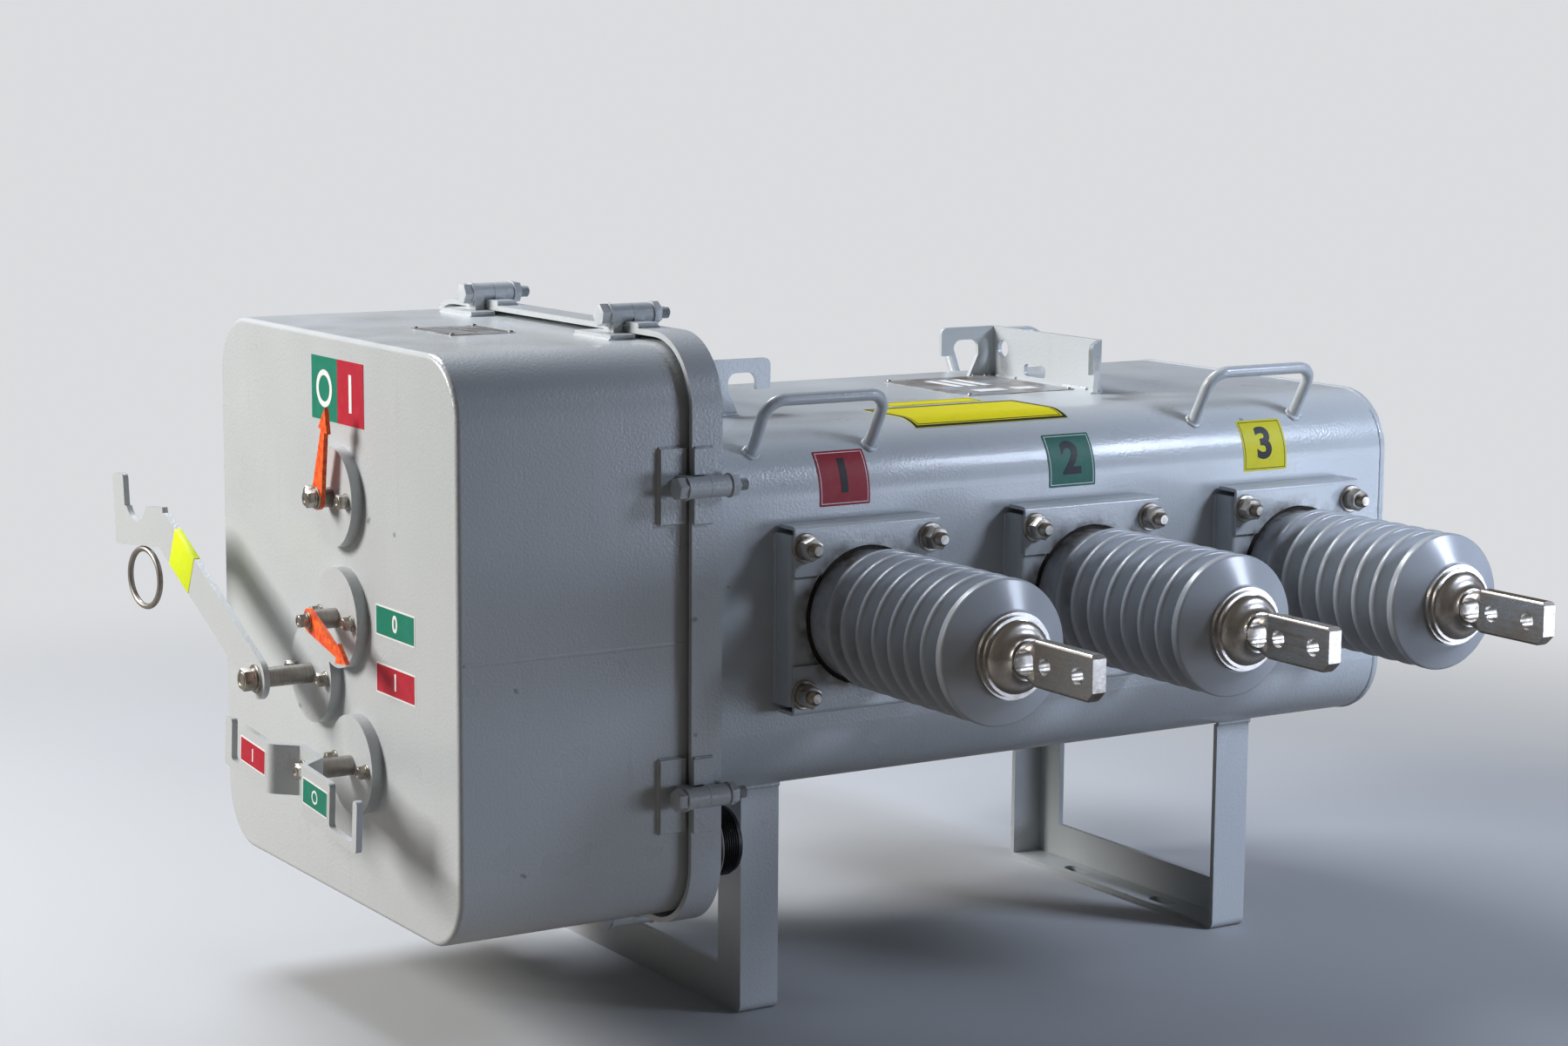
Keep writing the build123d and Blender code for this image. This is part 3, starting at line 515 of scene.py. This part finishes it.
socket_screw = joined(turned([(0, 7.2), (2.6, 7.2), (2.6, 8.4), (1.9, 9.3), (0, 9.5)], 16))
bm = bmesh.new()
for k in range(4):
    angle = radians(45 + 90 * k)
    y, z = SOCKET_Y + SOCKET_SCREW_OUT * cos(angle), SOCKET_Z + SOCKET_SCREW_OUT * sin(angle)
    stamp(bm, socket_screw, aim((FLANGE_BACK, y, z), (1, 0, 0)))
piece("socket_screws", bm, zinc, "switch")

# %% [markdown]
# Labels are printed vinyl film: saturated colour, a soft gloss and edges that catch the light. They
# carry plain signs only: a ring for open, a bar for closed and numbers. Film and print are separate
# thin sheets, the print lying on the film, so each keeps one clean colour.

# %% Film finishes
def film(name, colour, worn):
    """Printed vinyl film with slightly uneven ink."""
    material, tree, shader, place = finish(name, Roughness=0.5, IOR=1.45, Specular_IOR_Level=0.35)
    rub = ramp(tree, clouds(tree, place, 0.01, 5.0, 0.7), 0.5, 0.75, 0.0, 0.55)
    feed(tree, shader, Base_Color=mix(tree, rub, colour, worn))
    return material


film_green = film("film_green", "#0E7A63", "#2A8A76")
film_red = film("film_red", "#B01830", "#BE3A4C")
film_yellow = film("film_yellow", "#D6CE12", "#C6BC20")
film_white = film("film_white", "#E9ECEC", "#D5D9DA")
film_dark = film("film_dark", "#22262A", "#33383C")
phase_red = film("film_dull_red", "#9C2733", "#A94550")
phase_green = film("film_dull_green", "#2C6A5C", "#467D70")
print("films ready")


# %% Sheet helpers
# bottom and top of each layer, in millimetres above the surface
FILM, TINT, SIGN = (0, 0.25), (0.25, 0.4), (0.4, 0.55)
BIG_FILM, BIG_SIGN = (0, 0.3), (0.3, 0.5)
LINE, DIGIT = (0.25, 0.35), (0.25, 0.45)


def sheet(width, height, corner, low, high, cells=(1, 1)):
    """Thin rounded sheet in millimetres in the local XY plane, from low to high along Z."""
    bm = bmesh.new()
    bmesh.ops.create_grid(bm, x_segments=cells[0], y_segments=cells[1], size=0.5 * MM)
    bmesh.ops.scale(bm, verts=bm.verts, vec=(width, height, 1))
    if corner:
        soften(bm, [v for v in bm.verts if len(v.link_edges) == 2], corner, 4, "VERTICES")
    bmesh.ops.translate(bm, verts=bm.verts, vec=(0, 0, low * MM))
    grown = bmesh.ops.extrude_face_region(bm, geom=bm.faces[:])["geom"]
    tops = [g for g in grown if isinstance(g, bmesh.types.BMVert)]
    bmesh.ops.translate(bm, verts=tops, vec=(0, 0, (high - low) * MM))
    bmesh.ops.recalc_face_normals(bm, faces=bm.faces)
    return bm


def cut(bm, place, normal):
    """Cut every face of a bmesh along a plane through a place in metres."""
    everything = bm.verts[:] + bm.edges[:] + bm.faces[:]
    bmesh.ops.bisect_plane(bm, geom=everything, plane_co=place, plane_no=normal)


def numeral(sign, height, low, high, bold):
    """A number as a flat mesh in millimetres, its middle at the origin, its strokes widened."""
    text = bpy.data.curves.new("numeral", "FONT")
    text.body, text.align_x, text.align_y = sign, "CENTER", "CENTER"
    text.size = height * 1.4 * MM  # a digit is 1 / 1.4 of its font size
    text.extrude, text.offset = (high - low) / 2 * MM, bold * MM
    holder = bpy.data.objects.new("numeral", text)
    bpy.context.scene.collection.objects.link(holder)
    solved = holder.evaluated_get(bpy.context.evaluated_depsgraph_get())
    mesh = bpy.data.meshes.new_from_object(solved)
    bpy.data.objects.remove(holder)
    bm = bmesh.new()
    bm.from_mesh(mesh)
    bmesh.ops.remove_doubles(bm, verts=bm.verts, dist=MERGE)
    bmesh.ops.translate(bm, verts=bm.verts, vec=(0, 0, (low + high) / 2 * MM))
    return bm


def ring_sign(outer, inner, low, high):
    """The ring that stands for open."""
    return turned([(inner, low), (outer, low), (outer, high), (inner, high), (inner, low)], 40)


def facing(place, turn=0.0):
    """Matrix for a sheet on the cover's front: local X to the viewer's right, Y up, Z out."""
    axes = Matrix(((0, -1, 0), (0, 0, 1), (-1, 0, 0))).transposed().to_4x4()
    return Matrix.Translation(at(*place)) @ axes @ Matrix.Rotation(turn, 4, "Z")


def glue(name, bm, matrix, material, body):
    """Place one flat piece."""
    bmesh.ops.transform(bm, matrix=matrix, verts=bm.verts)
    piece(name, bm, material, body)


def bordered(name, width, height, border, spot, material, body):
    """A coloured label on a white one; border is what both edges take off its width."""
    glue(name + "_border", sheet(width, height, 0.8, *FILM), spot, film_white, body)
    inner = sheet(width - border, height - border, 0.4, *TINT)
    glue(name + "_label", inner, spot, material, body)


print("sheets ready")

# %% Labels on the cover's front
BIG_LABEL_Z, BIG_LABEL_SIZE = 515.4, (49.3, 50.5)
CHARGE_LABEL_Y, CHARGE_LABEL_SIZE = -116.9, (70.2, 24.3)
# name, film, place across the cover and sign
BIG_LABELS = (
    ("open", film_green, 9.75, ring_sign(15, 10.5, *BIG_SIGN)),
    ("closed", film_red, -39.75, sheet(5, 30, 0, *BIG_SIGN)),
)
for name, material, y, mark in BIG_LABELS:
    spot = facing((COVER_FRONT, y, BIG_LABEL_Z))
    glue(name + "_label", sheet(*BIG_LABEL_SIZE, 0, *BIG_FILM), spot, material, "switch")
    glue(name + "_sign", mark, spot, film_white, "switch")
CHARGE_LABELS = (("uncharged", film_green, 344.5, "0"), ("charged", film_red, 298.9, "1"))
for name, material, z, sign in CHARGE_LABELS:
    spot = facing((COVER_FRONT, CHARGE_LABEL_Y, z))
    bordered(name, *CHARGE_LABEL_SIZE, 2.6, spot, material, "switch")
    glue(name + "_number", numeral(sign, 13, *SIGN, 0.5), spot, film_white, "switch")

# %% Labels on the hand lever
LEVER_TURN = radians(4.5)
LEVER_FRONT = -503
LEVER_LABEL_HEIGHT = 21
# name, film, distance from the spindle, width and sign
LEVER_LABELS = (
    ("hand_close", film_red, 53.5, 50, sheet(2, 10.5, 0, *SIGN)),
    ("hand_open", film_green, -67.5, 46.5, ring_sign(5.4, 3.8, *SIGN)),
)
for name, material, out, width, mark in LEVER_LABELS:
    y = SPINDLES["lever"][0] + out * cos(LEVER_TURN)
    z = SPINDLES["lever"][1] + out * sin(LEVER_TURN)
    spot = facing((LEVER_FRONT, y, z), -LEVER_TURN)
    bordered(name, width, LEVER_LABEL_HEIGHT, 2.4, spot, material, "lever")
    glue(name + "_sign", mark, spot, film_white, "lever")

# %% [markdown]
# The phase stickers and the yellow strip lie over the tank's rounded shoulder. Each starts as a flat
# grid with enough cells to bend, and every point is then rolled round the shoulder: the distance
# from the roof's edge becomes an angle on its 54 mm radius.

# %% Stickers rolled round the shoulder
def roll_over(bm, side, x_middle, start):
    """Bend a sheet over the tank's shoulder: local Y counts down from the flat side's top edge."""
    arc = TANK_ROUND * pi / 2
    for v in bm.verts:
        along, down, proud = v.co.x / MM, start - v.co.y / MM, v.co.z / MM
        if down > 0:
            y, z = TANK_SIDE + proud, TANK_ROOF - TANK_ROUND - down
        elif down > -arc:
            angle = -down / TANK_ROUND
            y = TANK_SIDE - TANK_ROUND + (TANK_ROUND + proud) * cos(angle)
            z = TANK_ROOF - TANK_ROUND + (TANK_ROUND + proud) * sin(angle)
        else:
            y, z = TANK_SIDE - TANK_ROUND + down + arc, TANK_ROOF + proud
        v.co = at(x_middle - side * along, side * y, z)
    bmesh.ops.recalc_face_normals(bm, faces=bm.faces)


def frame_sheet(width, height, line):
    """Thin printed border line with enough cells to bend."""
    bm = sheet(width, height, 0, *LINE, (1, 14))
    half_x, half_y = width / 2 - line, height / 2 - line
    for axis, out in (((1, 0, 0), half_x), ((0, 1, 0), half_y)):
        for normal in (Vector(axis), -Vector(axis)):
            cut(bm, normal * out * MM, normal)
    middles = [(f, f.calc_center_median()) for f in bm.faces]
    hole = [f for f, m in middles if abs(m.x) < half_x * MM and abs(m.y) < half_y * MM]
    bmesh.ops.delete(bm, geom=hole, context="FACES")
    return bm


def rolled(name, bm, side, x, start, material):
    """Bend a sheet over the shoulder and close it."""
    roll_over(bm, side, x, start)
    piece(name, bm, material, "switch", 60)


# 39 mm of each sticker lie on the rounding and 7 mm on the flat side
STICKER_START = -16
# each phase's place along the tank, its film and the film of its border line
PHASES = (
    (-72.5, phase_red, film_white),
    (154.5, phase_green, film_white),
    (364.2, film_yellow, film_dark),
)
for k, (x, material, line) in enumerate(PHASES):
    for side, word in ((NEAR, "near"), (FAR, "far")):
        tag, digit = word + "_phase_" + str(k + 1), str(k + 1)
        rolled(tag, sheet(48, 46, 1.0, *FILM, (4, 16)), side, x, STICKER_START, material)
        rolled(tag + "_line", frame_sheet(44.5, 42.5, 0.6), side, x, STICKER_START, line)
        bm = numeral(digit, 27, *DIGIT, 1.3)
        # cut into 2 mm bands, so that the strokes bend with the shoulder
        for band in range(-18, 19, 2):
            cut(bm, (0, band * MM, 0), (0, 1, 0))
        rolled(tag + "_number", bm, side, x, STICKER_START, film_dark)

# %% Yellow strips on the roof
STRIP_X, STRIP_START = 92, -98.3
SMALL_STRIP_X, SMALL_STRIP_START = 98, -160
rolled("roof_strip", sheet(156, 82, 2.0, *FILM, (4, 24)), NEAR, STRIP_X, STRIP_START, film_yellow)
rolled("roof_strip_line", frame_sheet(155, 81, 3.0), NEAR, STRIP_X, STRIP_START, film_dark)
rolled("roof_strip_inner_line", frame_sheet(146, 72, 0.9), NEAR, STRIP_X, STRIP_START, film_dark)
bm = sheet(96, 26, 1.0, *FILM, (2, 4))
rolled("small_roof_strip", bm, NEAR, SMALL_STRIP_X, SMALL_STRIP_START, film_yellow)
bm = frame_sheet(92, 22, 0.8)
rolled("small_roof_strip_line", bm, NEAR, SMALL_STRIP_X, SMALL_STRIP_START, film_dark)

# %% [markdown]
# Two thin aluminium plates lie on top: a small one on the cover and a larger, stained one on the
# tank roof in front of the rear bracket. Both stay bare of words: the small one shows a faint ruled
# grid, the large one pale bars that are a painted reflection. Small rivets hold their corners.

# %% Plates on top
COVER_PLATE = Vector((-326, -20.5, COVER_TOP))
ROOF_PLATE = Vector((212, 26, TANK_ROOF))
COVER_PLATE_THICK, ROOF_PLATE_THICK = 0.6, 0.8
GRID_LINE, GRID_TOP = 0.7, 0.7
GRID_STEP, GRID_COLUMN = 11, 24.6


def lay(bm, flat, x, y, z):
    """Stamp a sheet at a place in millimetres, lying flat."""
    stamp(bm, joined(flat), Matrix.Translation(at(x, y, z)))


stained = speckled("stained_aluminium_plate", "#B4B8BE", "#8D857A", 0.035, 0.34, 0.15, 0.5)
bm = sheet(58, 73, 1.5, 0, COVER_PLATE_THICK)
glue("cover_plate", bm, Matrix.Translation(at(*COVER_PLATE)), stained, "switch")
bm = bmesh.new()
x, y, z = COVER_PLATE
for k in range(6):
    row = sheet(50, GRID_LINE, 0, COVER_PLATE_THICK, GRID_TOP)
    lay(bm, row, x, y + GRID_STEP * (k - 2.5), z)
for across in (-GRID_COLUMN, 0, GRID_COLUMN):
    column = sheet(GRID_LINE, 55.7, 0, COVER_PLATE_THICK, GRID_TOP)
    lay(bm, column, x + across, y, z)
piece("cover_plate_grid", bm, film_dark, "switch")

bm = sheet(116, 136, 2.0, 0, ROOF_PLATE_THICK)
glue("roof_plate", bm, Matrix.Translation(at(*ROOF_PLATE)), stained, "switch")
# painted reflection: pale bars of white film laid on the roof plate
bm = bmesh.new()
# place, width and length of each pale bar, a painted reflection
REFLECTION_BARS = ((190, 48, 8, 52), (205, 48, 8, 52), (220, 48, 8, 52), (198, -12, 30, 16), (236, -12, 22, 16))
for x, y, width, length in REFLECTION_BARS:
    lay(bm, sheet(width, length, 0, ROOF_PLATE_THICK, 0.95), x, y, TANK_ROOF)
piece("roof_plate_painted_reflection", bm, film_white, "switch")

rivet = joined(turned([(2.2, 0), (2.2, 0.5), (1.5, 1.3), (0, 1.6)], 14))
bm = bmesh.new()
RIVETED = ((COVER_PLATE, COVER_PLATE_THICK, 26, 33), (ROOF_PLATE, ROOF_PLATE_THICK, 54, 64))
for plate, thick, half_x, half_y in RIVETED:
    for sx in (-1, 1):
        for sy in (-1, 1):
            spot = (plate.x + sx * half_x, plate.y + sy * half_y, plate.z + thick)
            stamp(bm, rivet, aim(spot, (0, 0, 1)))
piece("plate_rivets", bm, zinc, "switch")

# %% [markdown]
# Legs, brackets, grips, clamp leaves and bushing bases are welded on before the coat is sprayed, so
# a rippled bead shows under the paint along each seam. A bead could be a smooth tube, but a real one
# swells and sinks with the welder's hand, so each ring of it is scaled by a noise and a fine ripple.

# %% Bead helpers
BEAD_SIDES = 8
ROUND = [tau * k / BEAD_SIDES for k in range(BEAD_SIDES)]


def run(start, end, step=2.2):
    """Evenly spaced points in millimetres from start to end."""
    a, b = Vector(start), Vector(end)
    count = max(2, round((b - a).length / step))
    return [a.lerp(b, k / count) for k in range(count + 1)]


def bead(bm, path, up, wide, tall, loop=False):
    """A low rippled ridge along points in millimetres; up is one direction or one for each point."""
    ups = [Vector(up).normalized()] * len(path) if isinstance(up, tuple) else up
    rings = []
    for k, spot in enumerate(path):
        before = path[k - 1] if loop or k else spot
        after = path[(k + 1) % len(path)] if loop or k < len(path) - 1 else spot
        side = (after - before).cross(ups[k]).normalized()
        # thicker and thinner over about 8 mm, with a ripple of three points
        swell = 1 + 0.3 * noise.noise(spot * 0.12) + 0.1 * sin(2.2 * k)
        outs = [side * wide * cos(t) + ups[k] * tall * sin(t) for t in ROUND]
        rings.append([bm.verts.new((spot + out * swell) * MM) for out in outs])
    for first, second in zip(rings, rings[1:] + rings[:loop]):
        for k in range(BEAD_SIDES):
            bm.faces.new((first[k - 1], first[k], second[k], second[k - 1]))
    if not loop:
        bm.faces.new(rings[0])
        bm.faces.new(rings[-1])


def hoop(centre, normal, radius, count=22):
    """Points and outward directions of a circle in millimetres."""
    turn = Vector(normal).to_track_quat("Z", "Y")
    angles = [tau * k / count for k in range(count)]
    outs = [turn @ Vector((cos(t), sin(t), 0)) for t in angles]
    leans = [(out + Vector(normal)).normalized() for out in outs]
    return [Vector(centre) + radius * out for out in outs], leans


def tank_girth(x, lean):
    """Points round the tank's section at a place along it, with directions that lean along X."""
    points, ups = [], []
    for sy, sz, first in ((1, 1, 0), (-1, 1, 1), (-1, -1, 2), (1, -1, 3)):
        y = sy * (TANK_SIDE - TANK_ROUND)
        middle = Vector((x, y, TANK_ROOF - TANK_HALF + sz * (TANK_HALF - TANK_ROUND)))
        angles = [(first + k / 28) * pi / 2 for k in range(29)]
        corner = [Vector((0, cos(t), sin(t))) for t in angles]
        if points:
            straight = run(points[-1], middle + TANK_ROUND * corner[0], 3)[1:-1]
            points += straight
            ups += [ups[-1]] * len(straight)
        points += [middle + TANK_ROUND * out for out in corner]
        ups += [(out + Vector((lean, 0, 0))).normalized() for out in corner]
    straight = run(points[-1], points[0], 3)[1:-1]
    return points + straight, ups + [ups[-1]] * len(straight)


print("beads of", BEAD_SIDES, "sides")

# %% Beads of tank, grips, bushing bases, cover and legs
GRIP_X, GRIP_Y, GRIP_Z = (-151, -39, 296, 408), 177.7, 467.2
SLOPE = 0.7071  # the grips' feet stand at 45 degrees
BASE_HALF_WIDTH, BASE_HALF_HEIGHT = 71, 68
SEAM_FRONT, SEAM_BACK, SEAM_Z = -428, -239, 330.3
LEG_WEBS = ((-145, 1), (387, -1))  # the web's place and the way its flange points
LEG_DEPTH, LEG_TOP = 36, 189
LEG_INNER, LEG_OUTER = 119, 154  # ends of a web's upper edge, from the tank's middle

bm = bmesh.new()
for x, lean, tall in ((FLANGE_BACK + 0.5, 1, 2.2), (TANK_REAR - 4, 0, 0.9)):
    path, ups = tank_girth(x, lean)
    bead(bm, path, ups, 2.4, tall, True)
for side in (NEAR, FAR):
    for x in GRIP_X:
        path, ups = hoop((x, side * GRIP_Y, GRIP_Z), (0, side * SLOPE, SLOPE), 5.4)
        bead(bm, path, ups, 2.3, 2.3, True)
    for x in BUSHING_X:
        for way in (-1, 1):
            foot = Vector((x + way * BASE_HALF_WIDTH, side * TANK_SIDE, BUSHING_Z))
            rise = Vector((0, 0, BASE_HALF_HEIGHT))
            bead(bm, run(foot - rise, foot + rise), (way, side, 0), 1.9, 1.9)
    # seam between the two halves of the cover's side
    y = side * COVER_SIDE
    bead(bm, run((SEAM_FRONT, y, SEAM_Z), (SEAM_BACK, y, SEAM_Z)), (0, side, 0), 1.6, 0.4)
    # leg tops: across the web, then along the flange
    for web, way in LEG_WEBS:
        inner, outer = (web, side * LEG_INNER, LEG_TOP), (web, side * LEG_OUTER, LEG_TOP + 0.5)
        bead(bm, run(inner, outer), (-way, 0, -1), 2.2, 2.2)
        y, z = side * (LEG_OUTER + 0.5), LEG_TOP + 1
        bead(bm, run((web, y, z), (web + way * LEG_DEPTH, y, z)), (0, side, -1), 2.4, 2.4)
print("seams:", len(bm.verts), "points")

# %% Beads of brackets and clamps
# start, end and direction of each seam at the rear bracket's foot, in X and Y
BRACKET_SEAMS = (
    ((255, 97.5), (276, 97.5), (0, -1)),
    ((254, 101.5), (278, 101.5), (0, 1)),
    ((277, -63.5), (261, -79.5), (-1, 1)),
    ((280, -65.8), (264, -81.8), (1, -1)),
    ((279, -48), (279, -12), (-1, 0)),
    ((279, 60), (279, 90), (-1, 0)),
    ((283, -50), (283, -20), (1, 0)),
    ((283, 58), (283, 92), (1, 0)),
)
BRACKET_SUM = (159, 40)  # a half turn takes each X and Y from these to give the front bracket
LEAF_HALF = 29
# each leaf's height from the barrel's axis, its front and back edge, and the edge with a long bead
LEAVES = ((-CLAMP_RISE, -262.7, -242, -262.7), (-9, -236, -219.8, -219.8))

for flip in (False, True):
    for start, end, up in BRACKET_SEAMS:
        if flip:
            start, end = ([s - p for s, p in zip(BRACKET_SUM, spot)] for spot in (start, end))
            up = (-up[0], -up[1])
        bead(bm, run((*start, TANK_ROOF), (*end, TANK_ROOF)), (*up, 1), 2.2, 2.2)
for y, z in clamp_places:
    upright = abs(y) > COVER_SIDE
    out = Vector((0, y / abs(y), 0)) if upright else Vector((0, 0, 1 if z > COVER_MIDDLE else -1))
    edge = Vector((0, 0, LEAF_HALF)) if upright else Vector((0, LEAF_HALF, 0))
    for rise, front, back, long_edge in LEAVES:
        foot = Vector((0, y, z)) + out * rise
        first, last, face = (foot + Vector((x, 0, 0)) for x in (front, back, long_edge))
        for way in (-1, 1):
            lean = tuple(out + way * edge / LEAF_HALF)
            bead(bm, run(first + way * edge, last + way * edge), lean, 1.5, 1.5)
        lean = (-1 if long_edge == front else 1, out.y, out.z)
        bead(bm, run(face - edge, face + edge), lean, 1.5, 1.5)
bmesh.ops.recalc_face_normals(bm, faces=bm.faces)
piece("weld_beads", bm, coat, "switch", 60)

# %% [markdown]
# A band of bright yellow-green tape is wrapped round the charging handle near its elbow, so that
# the arm is found in poor light. It is a thin sleeve just larger than the bar.

# %% Tape on the handle
ARM_TURN = radians(25)
ARM_X = -487.5
TAPE_OUT = 172
TAPE_SIZE = (46, 34.8, 5.8)
tape = film("tape_yellow_green", "#D3E61A", "#C2D42A")
bm = bmesh.new()
bmesh.ops.create_cube(bm, size=MM)
bmesh.ops.scale(bm, verts=bm.verts, vec=TAPE_SIZE)
soften(bm, bm.edges[:], 0.35)
y, z = SPINDLES["handle"]
spot = (ARM_X, y + TAPE_OUT * cos(ARM_TURN), z + TAPE_OUT * sin(ARM_TURN))
glue("handle_tape", bm, facing(spot, pi - ARM_TURN), tape, "charging_crank")
print("tape on the arm")

# %% [markdown]
# The stage is a pale floor under studio light. The photograph's key light stands in front of the
# cover and to the left, so the cover's front is bright and shows the pointers' shadows. A wide light
# behind and above brightens the roof. A small cool light at the right has a narrow beam: it draws
# the highlight along the tank's shoulder and throws each base's shadow to the left. A low cool light
# near it lifts the undersides, like light thrown back by a studio floor. A dim world fills the rest,
# and the camera sees it as a plain pale grey.

# %% Lights
def area_light(name, place, target, size, power, colour, spread=180):
    """A rectangular soft light at a place, aimed at a target; spread is its beam in degrees."""
    lamp = bpy.data.lights.new(name, "AREA")
    lamp.shape, lamp.size, lamp.size_y = "RECTANGLE", size[0], size[1]
    lamp.energy, lamp.color, lamp.spread = power, linear(colour)[:3], radians(spread)
    thing = bpy.data.objects.new(name, lamp)
    turn = (Vector(place) - Vector(target)).to_track_quat("Z", "Y").to_matrix().to_4x4()
    thing.matrix_world = Matrix.Translation(place) @ turn
    bpy.context.scene.collection.objects.link(thing)


area_light("key", (-2.2, 1.085, 1.39), (-0.3, 0.0, 0.33), (0.8, 0.8), 72, "#FFFAF4")
area_light("top", (-0.35, 1.3, 2.3), (0.15, 0.0, 0.45), (1.2, 0.9), 52, "#F0F5FF")
area_light("side", (1.36, -1.43, 1.4), (0.7, -0.2, 0.45), (0.45, 0.45), 4.4, "#DCE8FF", 71)
area_light("low", (1.25, -1.6, 0.3), (0.0, -0.2, 0.3), (0.9, 0.4), 9.5, "#DCE8FF")

# %% Floor and world
BACKDROP, BACKDROP_LEVEL = "#F1F3F6", 0.8
FLOOR_HALF = 14
FADE_START, FADE_END = 0.85, 2.0

floor_mesh = bpy.data.meshes.new("floor")
bm = bmesh.new()
bmesh.ops.create_grid(bm, x_segments=1, y_segments=1, size=FLOOR_HALF)
bm.to_mesh(floor_mesh)
bm.free()
floor = bpy.data.objects.new("floor", floor_mesh)
bpy.context.scene.collection.objects.link(floor)
ground, tree, shader, place = finish("pale_floor", Roughness=0.7)
to_camera = add(tree, "LightPath").outputs["Is Camera Ray"]
# pale to the camera, but it throws little light back, like the dark studio around the real one
feed(tree, shader, Base_Color=mix(tree, to_camera, "#86827E", "#BABDC0"))
# far from the switch the floor passes into the backdrop's plain pale grey
away = add(tree, "VectorMath", {0: place}, operation="LENGTH").outputs["Value"]
fade = ramp(tree, away, FADE_START, FADE_END, interpolation_type="SMOOTHSTEP")
shown = calc(tree, "MULTIPLY", fade, to_camera)
plain = add(tree, "Emission", {"Color": linear(BACKDROP), "Strength": BACKDROP_LEVEL})
layers = {0: shown, 1: shader.outputs["BSDF"], 2: plain.outputs["Emission"]}
blend = add(tree, "MixShader", layers).outputs["Shader"]
feed(tree, tree.nodes["Material Output"], Surface=blend)
floor_mesh.materials.append(ground)

world = bpy.data.worlds.new("studio")
bpy.context.scene.world = world
world.use_nodes = True
tree = world.node_tree
rays = add(tree, "LightPath").outputs
mirrored = calc(tree, "MULTIPLY", rays["Is Glossy Ray"], 0.1)
seen = calc(tree, "MAXIMUM", rays["Is Camera Ray"], mirrored)
level = ramp(tree, seen, 0.0, 1.0, 0.035, BACKDROP_LEVEL)
hue = mix(tree, rays["Is Camera Ray"], "#FFF1E2", BACKDROP)
feed(tree, tree.nodes["Background"], Color=hue, Strength=level)
bpy.context.scene.view_settings.view_transform = "Standard"
print("floor and world ready")

# %% [markdown]
# The camera was solved from the photograph: a long 74 mm lens, 2.8 m from the switch's middle, a
# little above the cover and rolled by a third of a degree. Its three axes are built from the
# direction that it looks in.

# %% Camera
CAMERA_PLACE = (-1.4677, -2.34275, 0.79188)
CAMERA_AHEAD = (0.5226, 0.8396, -0.1485)
CAMERA_ROLL = radians(0.38)
ahead = Vector(CAMERA_AHEAD).normalized()
right = ahead.cross(Vector((0, 0, 1))).normalized()
up = right.cross(ahead)
c, s = cos(CAMERA_ROLL), sin(CAMERA_ROLL)
axes = Matrix((right * c + up * s, up * c - right * s, -ahead)).transposed().to_4x4()
lens = bpy.data.cameras.new("camera")
lens.sensor_width, lens.lens = 36.0, 74.08
camera = bpy.data.objects.new("camera", lens)
camera.matrix_world = Matrix.Translation(CAMERA_PLACE) @ axes
bpy.context.scene.collection.objects.link(camera)
bpy.context.scene.camera = camera
print("camera at", tuple(camera.location))
